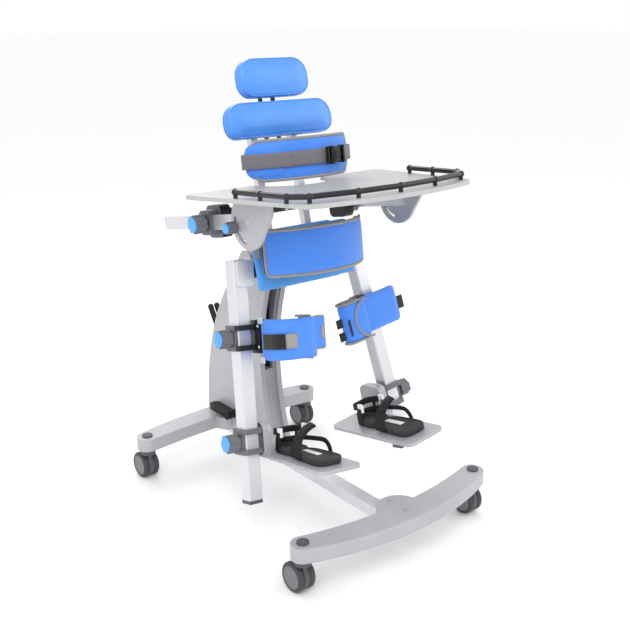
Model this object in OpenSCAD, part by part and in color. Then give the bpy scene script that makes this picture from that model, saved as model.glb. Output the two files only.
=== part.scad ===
// Standing frame: a wheeled base and column carry a tilting body frame with splayed legs, pads and a tray.
// Front is -Y, +X is to the right as seen from the front, and the floor is Z = 0.

/* [Base] */
// Half the distance between the castor stems across the base
castor_half_w = 290; // [250:5:330]
// Half the distance between the castor stems along the base
castor_half_l = 366; // [340:2:400]
// Height of the top of the foot bars
foot_top = 130; // [124:1:150]
// Thickness of the foot bars
foot_t = 38; // [30:1:42]
// Radius of the round ends of the foot bars
foot_end_r = 30; // [26:1:36]
// Half width of a foot bar at its middle
foot_mid_half = 37; // [30:1:44]
// How far the front foot bar bows forwards at its middle
front_bow = 47; // [30:1:60]
// How far the rear foot bar bows backwards at its middle
rear_bow = 28; // [20:1:40]
// Radius of the hub where a foot bar meets the spine
foot_hub_r = 60; // [50:1:70]
// Width of the spine tube
spine_w = 40; // [34:1:50]
// Height of the spine tube
spine_h = 30; // [24:1:36]
// Wall of the spine tube
spine_wall = 3; // [2:0.5:4]

/* [Castors] */
// Radius of a castor wheel
wheel_r = 37.5; // [34:0.5:38]
// Width of one wheel of the twin castor
wheel_w = 17; // [14:1:20]
// Distance from the stem back to the axle
castor_trail = 16; // [12:1:20]
// Radius of the castor stem
stem_r = 10; // [8:0.5:12]
// Width of the hood between the wheels
hood_w = 14; // [12:1:18]
// Radius of the wheel axle
axle_r = 5; // [4:0.5:6]

/* [Column] */
// Width of the column housing
column_w = 70; // [64:1:80]
// Place of the tilt pivot behind the base centre
tilt_y = 215; // [205:1:225]
// Height of the tilt pivot
tilt_z = 645; // [635:1:655]
// Radius of the rounded lug at the column's top
lug_r = 28; // [25:1:32]
// Radius of the tilt pin
tilt_pin_r = 8; // [6:0.5:10]

/* [Body frame] */
// Recline of the body frame
recline = 15.1; // [10:0.1:18]
// Height of the hip line on the body frame
hip_z = 620; // [610:1:630]
// Place of the hip line in front of the base centre
hip_y = 11.7; // [5:0.1:18]
// Half the distance between the leg axes at the hip line
hip_half = 199.3; // [190:0.1:210]
// Splay of each leg
splay = 6.8; // [4:0.1:9]
// Size of the square crossbar behind the hips
bar_s = 40; // [34:1:44]
// Distance of each leg pivot from the middle
pivot_x = 150; // [145:1:155]
// Height of the leg pivots above the hip line
pivot_h = 55; // [50:1:60]
// Radius of the leg pivot pins
pivot_r = 9; // [7:0.5:11]
// Half the distance between the two back posts
post_x = 64; // [54:1:74]
// Size of a square back post
post_s = 20; // [16:1:22]

/* [Legs] */
// Size of the square leg tube
leg_s = 40; // [36:1:44]
// Wall of the leg tube
leg_wall = 3; // [2:0.5:4]
// Length of the leg above the hip line
leg_up = 92; // [90:1:100]
// Length of the leg below the hip line
leg_down = 523; // [500:1:530]
// Distance of the knee clamp below the hip line
knee_down = 104; // [95:1:115]
// Distance of the foot pivot below the hip line
foot_down = 365; // [355:1:375]
// Wall of the clamp collars
clamp_wall = 9; // [7:0.5:11]
// Height of a clamp over both collars
clamp_h = 64; // [56:1:70]

/* [Tray] */
// Place of the tray pivot in front of the base centre
tray_y = -100; // [-110:1:-95]
// Height of the tray pivot
tray_z = 834; // [830:1:838]
// Rise of the tray arms towards the front
arm_pitch = 10; // [8:0.1:11]
// Rise of the tray board towards the front
tray_pitch = 4.4; // [3:0.1:5]
// Half width of the tray at its rear edge
tray_rear_half = 312; // [290:1:330]
// Half width of the tray at its front edge
tray_front_half = 255; // [245:1:270]
// Reach of the tray in front of its pivot
tray_front = 291; // [275:1:300]
// How far the tray's front edge bows forwards
tray_bow = 45; // [30:1:55]
// Reach of the tray behind its pivot
tray_rear = 160; // [150:1:165]
// Thickness of the tray board
tray_t = 10; // [8:0.5:12]
// Height of the top of the board over its pivot
tray_rise = 61.4; // [60:0.2:66]
// Radius of the cut-out for the user's trunk
trunk_cut_r = 110; // [95:1:120]
// Radius of the tray rail
rail_r = 6.5; // [5:0.5:8]
// Width of a tray arm
arm_w = 20; // [16:1:22]
// Height of a tray arm
arm_h = 35; // [30:1:38]
// Distance of the outer face of each arm from the middle
arm_out = 234; // [230:1:238]

/* [Pads] */
// Half width of the head pad
head_half = 107; // [95:1:115]
// Height of the head pad
head_h = 100; // [85:1:105]
// Half width of the chest pad
chest_half = 165; // [150:1:180]
// Height of the chest pad
chest_h = 92; // [80:1:96]
// Thickness of the head and chest pads
pad_t = 44; // [36:1:48]
// Half width of the seat pad
seat_half = 165; // [150:1:180]
// Height of the seat pad
seat_h = 160; // [140:1:165]
// Thickness of the seat pad's front panel
seat_t = 16; // [12:1:20]
// Half width of the trunk and hip bands
band_half = 168; // [155:1:175]
// How far a band bows forwards at its middle
band_bow = 95; // [80:1:105]
// Thickness of the bands
band_t = 22; // [16:1:26]
// Thickness of the belt webbing
web_t = 2.5; // [1.5:0.1:3]

/* [Hidden] */
$fn = 48;

// Gap between pieces that slide or turn past each other
slide_gap = 0.3;
// Radial clearance of pins and shafts in their bores
pin_gap = 0.05;
// Length by which cutting shapes run past the faces they cut
over = 1;

silver = [0.72, 0.73, 0.75];
alu = [0.85, 0.85, 0.86];
dark = [0.28, 0.28, 0.30];
black = [0.07, 0.07, 0.08];
blue = [0.13, 0.45, 0.95];
grey_web = [0.42, 0.42, 0.45];

// Castor and foot bar details
stem_cap_r = stem_r * 1.5;
stem_cap_t = 4;
collar_r = stem_r * 2.1;
wheel_edge = wheel_w / 4;
hub_dish = 2;
hood_r = wheel_r * 0.92;
spine_top = foot_top - foot_t * 0.74;
screw_r = 7;
screw_t = 3;
screw_pitch = foot_hub_r * 0.93;
foot_skin = 6;
stem_boss_r = foot_end_r;
hub_sink = 2;

// Column outline in side view: forward and rearward points, as y and z
column_half = column_w / 2;
column_front_foot = [98, spine_top];
column_front_low = [170, 310];
column_front_high = [165, 450];
column_front_top = [118, 590];
column_rear_top = [305, 560];
column_rear_high = [390, 440];
column_rear_low = [430, 330];
column_rear_foot = [436, foot_top];
column_heel_y = castor_half_l + rear_bow + foot_mid_half - hub_sink - 2 * foot_hub_r - slide_gap;
column_wall = 5;
groove_half = 20;
groove_t = 12;
fork_half = 14;
fork_floor = 572;
slot_half = 16;
slot_floor = 330;
slot_back = 190;
liner_t = 12;
lug_from = 154;
lug_to = 40;
lever_y = 386;
lever_z = 362;
lever_hub_r = 11;
lever_pin_r = 6;
lever_hub_half = 20;
lever_clear_r = 34;
grip_r = 8.5;
grip_x = 11;
grip_angle = 32;
grip_reach = 450;
grip_len = (grip_reach - lever_y - grip_r) / sin(grip_angle);
pedal_y = 285;
pedal_z = 160;
pedal_pin_r = 7;
pedal_boss_r = 13;
pedal_len = 98;
pedal_w = 34;
pedal_t = 16;

// Body frame: depth b runs to the rear along the reclined frame, height h runs up along it
leg_half = leg_s / 2;
plate_t = 10;
bracket_lap = 4;
bracket_rear = leg_half + slide_gap - bracket_lap + plate_t;
bar_gap = 0.7;
bar_front = bracket_rear + bar_gap;
bar_low = pivot_h - bar_s / 2;
pin_head_t = 5;
pin_head_r = pivot_r * 1.45;
post_rear = bar_front;
post_front = post_rear - post_s;
post_top = 462;
seat_rear = post_front - slide_gap;
seat_low = -4;
seat_core_half = 118;
seat_panel_gap = 0.6;
seat_panel_rear = -leg_half - plate_t - seat_panel_gap;
seat_panel_front = seat_panel_rear - seat_t;
tilt_b = (tilt_y - hip_y) * cos(recline) - (tilt_z - hip_z) * sin(recline);
tilt_h = (tilt_y - hip_y) * sin(recline) + (tilt_z - hip_z) * cos(recline);
yoke_r = 24;
yoke_half = fork_half - slide_gap;
arm_bar_s = 30;
arm_bar_h = 208;

// Leg details, in the frame of one leg: x outwards, y to the rear, z up along the leg
pivot_out = -(hip_half - pivot_x) * cos(splay) + pivot_h * sin(splay);
pivot_up = (hip_half - pivot_x) * sin(splay) + pivot_h * cos(splay);
leg_corner_r = 4;
leg_cap_t = 9;
bracket_low = 24;
bracket_cheek = 14;
bracket_front_out = 15;
boss_r = 22;
collar_h = 13;
knob_r = 24;
knob_len = 36;
small_knob_r = 15;
small_knob_len = 28;
knob_neck_r = 9;
knob_neck = 6;
knob_lobes = 7;
knob_cap_t = 3;
thread_r = 4;
knee_plate_w = 28;
knee_plate_h = 84;
knee_plate_front = leg_half * 2;
knee_plate_rear = 5;
cup_half = 64;
cup_front = -140;
cup_corner = 40;
cup_wall = 22;
cup_h = 112;
cup_out = -92;
cup_drop = 9;
wing_h = 112;
wing_in = -150;
wing_out = 74;
wing_fold = 46;
wing_flap = 62;
foot_ear_r = 42;
foot_ear_corner = 20;
foot_ear_t = 12;
foot_ear_b = 16;
foot_ear_drop = 40;
foot_pin_r = 7;
sole_plate_t = 8;
sole_plate_pitch = recline - 10.4;
sole_plate_inner = -172;
sole_plate_outer = -leg_half - slide_gap - clamp_wall - foot_ear_t - slide_gap;
sole_plate_front = -262;
sole_plate_rear = 56;
sole_plate_corner = 22;
glide_r = 13;
glide_t = 5;
sandal_t = 18;
sandal_wall = 4;
sandal_cup_h = 30;
sandal_cup_b = -52;
sandal_strap_w = 16;
toe_strap_b = -150;
toe_strap_rise = 34;
ankle_strap_b = -66;
ankle_strap_rise = 62;
sandal_toe_r = 40;
sandal_heel_r = 32;
sandal_out = -106;
sandal_toe_b = -185;
sandal_heel_b = -38;

// Tray details, in the frame of the tray pivot: y to the rear, z up off the arm
bracket_t = 8;
bracket_in = arm_out + slide_gap;
disc_r = 66;
disc_front = 96;
disc_front_drop = 22;
slot_r = 50;
slot_w = 9;
slot_low = -80;
slot_high = 12;
knob_slot_angle = -12;
tray_pin_r = 6;
arm_front = 40;
arm_rear = 405;
arm_wall = 2.5;
clamp_at = 187;
clamp_len = 68;
clamp_tall = 82;
clamp_inner = 30;
clamp_outer = 8;
clamp_corner = 16;
clamp_jaw = 13;
rail_lift = 14.2;
rail_half = 276;
rail_front_half = 265;
rail_rear = -10;
rail_front = -219;
rail_collar_r = rail_r * 1.3;
rail_collar_l = rail_r * 1.5;
rail_post_r = rail_r * 0.8;
tray_corner_r = 34;
tray_rear_corner_r = 14;

// Pads, in the body frame
trunk_low = 280;
trunk_h = 104;
hip_low = 45;
hip_h = 121;
band_end = -72;
band_lean = recline / 2;
trunk_strap_low = 34;
strap_w = 36;
hip_strap_low = 50;
buckle_w = 66;
buckle_t = 14;
buckle_h = 44;
buckle_angle = 12;
strap_tuck = 8;
chest_mid = 428;
head_mid = 532;
pad_rear = -5;
pad_corner = 34;
carrier_t = 9;
carrier_w = 190;
carrier_h = 56;
sleeve_wall = 4;
rod_r = 6;
rod_x = 20;
rod_b = 14;
rod_low = 360;

// Where the reclined body frame sits
module reclined() translate([0, hip_y, hip_z]) rotate([-recline, 0, 0]) children();

// Right side shapes, mirrored for the left
module on_side(side) mirror([side < 0 ? 1 : 0, 0, 0]) children();

// The frame of one leg
module leg_frame(side) reclined() on_side(side) translate([hip_half, 0, 0]) rotate([0, -splay, 0]) children();

// The frame of the tray arms and the frame of the tilting board
module arm_frame() translate([0, tray_y, tray_z]) rotate([-arm_pitch, 0, 0]) children();
module tray_frame() translate([0, tray_y, tray_z]) rotate([-tray_pitch, 0, 0]) children();

// A cylinder along X
module x_rod(r, x0, x1) translate([x0, 0, 0]) rotate([0, 90, 0]) cylinder(r = r, h = x1 - x0);

// A cylinder along Y
module y_rod(r, y0, y1) translate([0, y0, 0]) rotate([-90, 0, 0]) cylinder(r = r, h = y1 - y0);

// A block from its lowest to its highest corner
module block(low, high) translate(low) cube(high - low);

// A flat rectangle with round corners, from its lowest to its highest corner
module round_rect(low, high, r) {
    translate([low[0] + r, low[1]]) square([high[0] - low[0] - 2 * r, high[1] - low[1]]);
    translate([low[0], low[1] + r]) square([high[0] - low[0], high[1] - low[1] - 2 * r]);
    for (x = [low[0] + r, high[0] - r], y = [low[1] + r, high[1] - r]) translate([x, y]) circle(r);
}

// A plate drawn in side view (y, z) and given a thickness along X
module side_plate(x0, x1) translate([x0, 0, 0]) rotate([90, 0, 90]) linear_extrude(x1 - x0) children();

// Radius of an arc from half its chord and its rise
function arc_r(half, rise) = (half * half + rise * rise) / (2 * rise);

// Points of a circular arc
function arc(mid, r, from, to, n) = [for (k = [0 : n]) mid + r * [cos(from + k * (to - from) / n),
    sin(from + k * (to - from) / n)]];

// Points of a cubic curve
function curve(a, b, c, d, n = 16) = [
    for (i = [0 : n]) let (t = i / n, u = 1 - t)
        u * u * u * a + 3 * u * u * t * b + 3 * u * t * t * c + t * t * t * d
];

// Foot bar outline, bowed towards -Y, with its castor stems on Y = 0, drawn smaller by an inset
module foot_outline(bow, inset) {
    rise_out = bow + foot_mid_half - foot_end_r;
    rise_in = bow - foot_mid_half + foot_end_r;
    mid_out = (castor_half_w ^ 2 - rise_out ^ 2) / (2 * rise_out);
    mid_in = (castor_half_w ^ 2 - rise_in ^ 2) / (2 * rise_in);
    r_out = mid_out + bow + foot_mid_half - inset;
    r_in = mid_in + bow - foot_mid_half + inset;
    from = atan2(-mid_out, castor_half_w);
    to = atan2(mid_in, -castor_half_w);
    right = concat(
        arc([0, mid_out], r_out, -90, from, 12),
        arc([castor_half_w, 0], foot_end_r - inset, from, to, 16),
        arc([0, mid_in], r_in, to - 180, -90, 12));
    left = [for (k = [len(right) - 2 : -1 : 1]) [-right[k][0], right[k][1]]];
    polygon(concat(right, left));
    translate([0, foot_hub_r - bow - foot_mid_half + hub_sink]) circle(foot_hub_r - inset);
}

// Hollow foot bar with stem bosses and a notch over the spine
module foot_bar(bow) translate([0, -castor_half_l, 0]) difference() {
    low = foot_top - foot_t;
    side = spine_w / 2 + foot_skin;
    translate([0, 0, low]) linear_extrude(foot_t) foot_outline(bow, 0);
    translate([0, 0, low + foot_skin]) linear_extrude(foot_t - 2 * foot_skin) difference() {
        foot_outline(bow, foot_skin);
        for (x = [-castor_half_w, castor_half_w]) translate([x, 0]) circle(stem_boss_r);
        translate([-side, -2 * bow - foot_hub_r]) square([2 * side, 2 * bow + 2 * foot_hub_r]);
    }
    for (x = [-castor_half_w, castor_half_w])
        translate([x, 0, 0]) cylinder(r = stem_r + pin_gap, h = foot_top + over);
    translate([-spine_w / 2, -bow, 0]) cube([spine_w, bow + 2 * foot_hub_r, spine_top]);
}

module front_foot() color(silver) foot_bar(front_bow);
module rear_foot() color(silver) mirror([0, 1, 0]) foot_bar(rear_bow);

module base_spine() color(alu) {
    front = -castor_half_l - front_bow;
    rear = castor_half_l + rear_bow;
    difference() {
        block([-spine_w / 2, front, spine_top - spine_h], [spine_w / 2, rear, spine_top]);
        block([-spine_w / 2 + spine_wall, front - over, spine_top - spine_h + spine_wall],
            [spine_w / 2 - spine_wall, rear + over, spine_top - spine_wall]);
    }
}

module foot_screws() color(alu)
    for (k = [-1, 1]) translate([0, -castor_half_l - front_bow / 3 + k * screw_pitch / 2, foot_top])
        cylinder(r = screw_r, h = screw_t);

// Side view of the column housing
module column_outline() {
    front = curve(column_front_foot, column_front_low, column_front_high, column_front_top);
    rear = curve(column_rear_top, column_rear_high, column_rear_low, column_rear_foot);
    lug = arc([tilt_y, tilt_z], lug_r, lug_from, lug_to, 16);
    heel = [[column_heel_y, foot_top], [column_heel_y, spine_top]];
    polygon(concat(front, lug, rear, heel));
}

// Hollow inside the housing, behind the slot
module column_hollow() {
    inset = [-lever_clear_r - column_wall, 0];
    rear = curve(column_rear_top + inset, column_rear_high + inset, column_rear_low + inset,
        column_rear_foot + inset);
    intersection() {
        polygon(concat([[slot_back + column_wall, column_rear_top[1]]], rear, [[slot_back + column_wall,
            foot_top]]));
        translate([0, foot_top + column_wall]) square([2 * castor_half_l,
            fork_floor - foot_top - 2 * column_wall]);
    }
}

// Shallow groove down the column's front, between two fins
module column_groove() {
    front = curve(column_front_foot, column_front_low, column_front_high, column_front_top);
    ahead = [-groove_t, 0];
    back = [for (k = [len(front) - 1 : -1 : 0]) front[k] + [groove_t, 0]];
    polygon(concat([for (p = front) p + ahead], back));
}

// One half of the column housing, on the right side
module column_half_shell() difference() {
    side_plate(0, column_half) column_outline();
    side_plate(-over, column_half - column_wall) column_hollow();
    translate([0, tilt_y, tilt_z]) x_rod(tilt_pin_r + pin_gap, -over, column_half + over);
    block([-over, 0, fork_floor], [fork_half, 2 * tilt_y, 2 * tilt_z]);
    block([-over, 0, slot_floor], [slot_half, slot_back, fork_floor + over]);
    side_plate(-over, groove_half) column_groove();
    translate([0, lever_y, lever_z]) {
        x_rod(lever_pin_r + pin_gap, -over, column_half + over);
        x_rod(lever_clear_r, -over, lever_hub_half + slide_gap);
    }
    translate([0, pedal_y, pedal_z]) x_rod(pedal_pin_r + pin_gap, column_half / 2, column_half + over);
}

module column_shell_right() color(silver) column_half_shell();
module column_shell_left() color(silver) mirror([1, 0, 0]) column_half_shell();

// Dark liner at the back of the slot in the column's front
module column_channel() color(black) difference() {
    block([-slot_half, slot_back - liner_t, slot_floor], [slot_half, slot_back, fork_floor]);
    block([-slot_half / 3, 0, slot_floor - over], [slot_half / 3, slot_back - liner_t / 2,
        fork_floor + over]);
}

module tilt_pin() color(dark) translate([0, tilt_y, tilt_z])
    x_rod(tilt_pin_r, -column_half, column_half);

// Paired hand grips that release the tilt
module tilt_lever() color(black) translate([0, lever_y, lever_z]) {
    x_rod(lever_pin_r, -column_half, column_half);
    x_rod(lever_hub_r, -lever_hub_half, lever_hub_half);
    for (x = [-grip_x, grip_x]) translate([x, 0, 0]) rotate([-grip_angle, 0, 0]) {
        cylinder(r = grip_r * 0.7, h = grip_len);
        translate([0, 0, grip_len * 0.3]) cylinder(r = grip_r, h = grip_len * 0.7);
        translate([0, 0, grip_len]) sphere(grip_r);
    }
}

// Foot pedal on the left of the column
module lift_pedal() color(black) translate([0, pedal_y, pedal_z]) mirror([1, 0, 0]) {
    x_rod(pedal_pin_r, column_half / 2 + slide_gap, column_half + pedal_w);
    x_rod(pedal_boss_r, column_half + slide_gap, column_half + pedal_w);
    translate([column_half + slide_gap, 0, -pedal_t / 2]) linear_extrude(pedal_t)
        round_rect([0, 0], [pedal_w, pedal_len], pedal_boss_r);
}

// Twin wheel castor: hood with its stem and cap
module castor(x, y) color(dark) translate([x, y, 0]) {
    foot_low = foot_top - foot_t;
    stem_low = 2 * wheel_r + slide_gap;
    translate([0, 0, stem_low]) cylinder(r = stem_r, h = foot_top + slide_gap + stem_cap_t - stem_low);
    translate([0, 0, foot_top + slide_gap]) cylinder(r = stem_cap_r, h = stem_cap_t);
    difference() {
        union() {
            translate([0, 0, 2 * wheel_r + slide_gap])
                cylinder(r = collar_r, h = foot_low - 2 * wheel_r - 2 * slide_gap);
            translate([0, castor_trail, wheel_r]) x_rod(hood_r, -hood_w / 2, hood_w / 2);
            block([-hood_w / 2, -stem_r, wheel_r], [hood_w / 2, castor_trail, 2 * wheel_r + over]);
        }
        translate([0, castor_trail, wheel_r]) x_rod(axle_r + pin_gap, -hood_w, hood_w);
    }
}

// One wheel in section, its inner face on Y = 0
module wheel_section() polygon([
    [0, 0], [wheel_r - wheel_edge, 0], [wheel_r, wheel_edge], [wheel_r, wheel_w - wheel_edge],
    [wheel_r - wheel_edge, wheel_w], [wheel_r * 0.78, wheel_w], [wheel_r * 0.74, wheel_w - hub_dish],
    [0, wheel_w - hub_dish]
]);

module wheel_pair(x, y) color(dark) translate([x, y + castor_trail, wheel_r]) {
    x_rod(axle_r, -hood_w / 2 - over, hood_w / 2 + over);
    for (s = [-1, 1]) on_side(s) translate([hood_w / 2 + slide_gap, 0, 0]) rotate([90, 0, 90])
        rotate_extrude($fn = 64) wheel_section();
}

module castor_front_left() castor(-castor_half_w, -castor_half_l);
module castor_front_right() castor(castor_half_w, -castor_half_l);
module castor_rear_left() castor(-castor_half_w, castor_half_l);
module castor_rear_right() castor(castor_half_w, castor_half_l);
module wheels_front_left() wheel_pair(-castor_half_w, -castor_half_l);
module wheels_front_right() wheel_pair(castor_half_w, -castor_half_l);
module wheels_rear_left() wheel_pair(-castor_half_w, castor_half_l);
module wheels_rear_right() wheel_pair(castor_half_w, castor_half_l);

// Link from the tilt pin to the crossbar
module tilt_yoke() color(silver) reclined() difference() {
    side_plate(-yoke_half, yoke_half) {
        bar_rear = [[bar_front + bar_s, bar_low], [bar_front + bar_s, bar_low + bar_s]];
        polygon(concat(bar_rear, arc([tilt_b, tilt_h], yoke_r, 90, -90, 16)));
    }
    translate([0, tilt_b, tilt_h]) x_rod(tilt_pin_r + pin_gap, -fork_half, fork_half);
}

// Square tube behind the hips, with the two leg pins
module hip_crossbar() color(silver) reclined() {
    reach = pivot_x + bar_s / 2;
    block([-reach, bar_front, bar_low], [reach, bar_front + bar_s, bar_low + bar_s]);
    for (x = [-pivot_x, pivot_x]) translate([x, 0, pivot_h]) {
        y_rod(pivot_r, seat_rear + slide_gap, bar_front + over);
        y_rod(pin_head_r, bracket_rear - plate_t - slide_gap - pin_head_t,
            bracket_rear - plate_t - slide_gap);
    }
}

module back_posts() color(alu) reclined()
    for (x = [-post_x, post_x])
        block([x - post_s / 2, post_front, bar_low], [x + post_s / 2, post_rear, post_top]);

// Dark bar across the back that carries the arm clamps
module arm_crossbar() color(black) reclined() {
    reach = arm_out - arm_w - clamp_inner - slide_gap;
    block([-reach, post_rear, arm_bar_h - arm_bar_s / 2], [reach, post_rear + arm_bar_s,
        arm_bar_h + arm_bar_s / 2]);
}

// Seat pad: a wide front panel in front of the leg brackets, on a core that rests on the posts
module seat_pad() color(blue) reclined() translate([0, 0, seat_low]) linear_extrude(seat_h) polygon([
    [-seat_half, seat_panel_front], [seat_half, seat_panel_front], [seat_half, seat_panel_rear],
    [seat_core_half, seat_panel_rear], [seat_core_half, seat_rear], [-seat_core_half, seat_rear],
    [-seat_core_half, seat_panel_rear], [-seat_half, seat_panel_rear]
]);

// The frame of a band: it stands more upright than the body frame, on its lower edge
module band_frame(low) reclined() translate([0, 0, low]) rotate([band_lean, 0, 0]) children();

// Plan view of a band that bows forwards, between two distances from its outer face
module band_plan(inner, outer) {
    r = arc_r(band_half, band_bow);
    mid = band_end - band_bow + r;
    difference() {
        intersection() {
            translate([0, mid]) circle(r + outer, $fn = 120);
            translate([-band_half - outer, mid - r - outer]) square([2 * (band_half + outer),
                band_bow + outer]);
        }
        translate([0, mid]) circle(r + inner, $fn = 120);
    }
}

// Strap tail from the end of a band back to a side point
module strap_tail(start, end) {
    run = end - start;
    translate(start) rotate(atan2(run[1], run[0])) translate([0, -web_t]) square([norm(run), web_t]);
}

module trunk_band() color(blue) band_frame(trunk_low) linear_extrude(trunk_h) band_plan(-band_t, 0);

module trunk_strap() color(grey_web) band_frame(trunk_low) translate([0, 0, trunk_strap_low]) {
    post_mid = post_rear - post_s / 2;
    strap_mid = trunk_strap_low + strap_w / 2;
    tail_b = (post_mid + strap_mid * sin(band_lean)) / cos(band_lean);
    linear_extrude(strap_w) band_plan(slide_gap, slide_gap + web_t);
    for (s = [-1, 1]) on_side(s)
        linear_extrude(strap_w) strap_tail([band_half + slide_gap + web_t, band_end - over],
            [post_x + post_s / 2 + slide_gap, tail_b]);
}

module trunk_buckle() color(black) band_frame(trunk_low) {
    r = arc_r(band_half, band_bow);
    translate([0, band_end - band_bow + r, trunk_strap_low + strap_w / 2]) rotate([0, 0, buckle_angle])
        translate([0, -r - slide_gap - web_t - slide_gap, 0])
            block([-buckle_w / 2, -buckle_t, -buckle_h / 2], [buckle_w / 2, 0, buckle_h / 2]);
}

module hip_band() color(blue) band_frame(hip_low) linear_extrude(hip_h) band_plan(-band_t, 0);

// Short tails from the ends of the hip band back to the seat pad's front
module hip_straps() color(grey_web) band_frame(hip_low) translate([0, 0, hip_strap_low]) {
    tail_b = (seat_panel_front - slide_gap + hip_strap_low * sin(band_lean)) / cos(band_lean);
    for (s = [-1, 1]) on_side(s)
        linear_extrude(strap_w * 0.75) strap_tail([band_half - web_t, band_end + slide_gap],
            [seat_half - strap_tuck, tail_b - web_t * 0.3]);
}

// Black jaw block that grips a tray arm
module arm_clamp(side) color(black) on_side(side) arm_frame() difference() {
    jaw = arm_h / 2 + slide_gap + clamp_jaw;
    union() {
        side_plate(arm_out - arm_w - clamp_inner, arm_out - arm_w)
            round_rect([clamp_at - clamp_len / 2, -clamp_tall / 2], [clamp_at + clamp_len / 2,
                clamp_tall / 2], clamp_corner);
        side_plate(arm_out - arm_w - over, arm_out + clamp_outer)
            round_rect([clamp_at - jaw * 0.8, -jaw], [clamp_at + jaw * 0.8, jaw], clamp_jaw);
    }
    block([arm_out - arm_w - slide_gap, clamp_at - clamp_len, -arm_h / 2 - slide_gap],
        [arm_out + slide_gap, clamp_at + clamp_len, arm_h / 2 + slide_gap]);
    translate([0, clamp_at, 0]) x_rod(thread_r + pin_gap, arm_out, arm_out + clamp_outer + over);
}
module arm_clamp_left() arm_clamp(-1);
module arm_clamp_right() arm_clamp(1);

// Lobed hand knob along X with a coloured cap, its neck seated on X = 0 and its screw behind
module knob_outline(r) {
    circle(r * 0.88);
    for (k = [0 : knob_lobes - 1]) rotate(k * 360 / knob_lobes) translate([r * 0.7, 0]) circle(r * 0.3);
}

module knob(screw, r = knob_r, long = knob_len) {
    x_rod(thread_r, -screw, knob_neck);
    x_rod(knob_neck_r, slide_gap, knob_neck);
    side_plate(knob_neck, long) knob_outline(r);
    x_rod(r * 0.8, long, long + knob_cap_t);
}

module arm_knob(side) color(dark) on_side(side) arm_frame()
    translate([arm_out + clamp_outer, clamp_at, 0]) knob(clamp_outer - slide_gap - over);
module arm_knob_left() arm_knob(-1);
module arm_knob_right() arm_knob(1);

// Two square arms with the pins that the board tilts on
module tray_arms() color(alu) for (s = [-1, 1]) on_side(s) arm_frame() difference() {
    union() {
        block([arm_out - arm_w, -arm_front, -arm_h / 2], [arm_out, arm_rear, arm_h / 2]);
        x_rod(tray_pin_r, arm_out - over, arm_out + bracket_t + 2 * slide_gap);
    }
    block([arm_out - arm_w + arm_wall, arm_front, -arm_h / 2 + arm_wall],
        [arm_out - arm_wall, arm_rear + over, arm_h / 2 - arm_wall]);
    rotate([knob_slot_angle, 0, 0]) translate([0, slot_r, 0]) x_rod(thread_r + pin_gap,
        arm_out - arm_wall, arm_out + over);
}

// Outline of the tray board: straight tapering sides, a bowed front edge and round corners
module tray_outline() {
    slope = (tray_rear_half - tray_front_half) / (tray_rear + tray_front - tray_bow);
    lean = norm([1, slope]);
    side_angle = atan(slope);
    r_front = arc_r(tray_front_half, tray_bow);
    mid = r_front - tray_front;
    // Centre of a front corner: its radius inside the side and inside the front edge
    side_at_mid = tray_rear_half + slope * (mid - tray_rear) - tray_corner_r * lean;
    root = sqrt((r_front - tray_corner_r) ^ 2 * lean ^ 2 - side_at_mid ^ 2);
    corner_y = mid - (side_at_mid * slope + root) / lean ^ 2;
    corner_x = side_at_mid + slope * (corner_y - mid);
    front_angle = atan2(corner_y - mid, corner_x);
    rear_in = [tray_rear_half - tray_rear_corner_r, tray_rear - tray_rear_corner_r];
    right = concat(
        arc([0, mid], r_front, -90, front_angle, 12),
        arc([corner_x, corner_y], tray_corner_r, front_angle, -side_angle, 8),
        arc(rear_in, tray_rear_corner_r, -side_angle, 90, 6));
    left = [for (k = [len(right) - 1 : -1 : 1]) [-right[k][0], right[k][1]]];
    difference() {
        polygon(concat(right, left));
        translate([0, tray_rear]) circle(trunk_cut_r, $fn = 96);
    }
}

module tray_board() color(silver) tray_frame()
    translate([0, 0, tray_rise - tray_t]) linear_extrude(tray_t) tray_outline();

// Two shield shaped side brackets with a curved slot
module tray_brackets() color(silver) for (s = [-1, 1]) on_side(s) tray_frame() difference() {
    top = tray_rise - tray_t;
    side_plate(bracket_in, bracket_in + bracket_t) {
        circle(disc_r);
        polygon([
            [disc_r * 0.11, top], [-disc_front, top], [-disc_front, disc_front_drop],
            [-disc_r * 0.7, -disc_r * 0.71], [0, 0], [disc_r * 0.11, disc_r * 0.5]
        ]);
    }
    x_rod(tray_pin_r + pin_gap, arm_out, bracket_in + bracket_t + over);
    translate([arm_out, 0, 0]) rotate([90, 0, 90]) rotate([0, 0,
        slot_low]) rotate_extrude(angle = slot_high - slot_low)
        translate([slot_r - slot_w / 2, 0]) square([slot_w, bracket_t + 2 * over]);
    block([arm_out, -2 * disc_front, top], [bracket_in + bracket_t + over, 2 * disc_front, 2 * disc_front]);
}

// Tube rail on posts round the front of the board
module rail_run(a, b) translate(a) rotate([0, 0, atan2(b[1] - a[1], b[0] - a[0])]) x_rod(rail_r, 0,
    norm(b - a));

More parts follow.
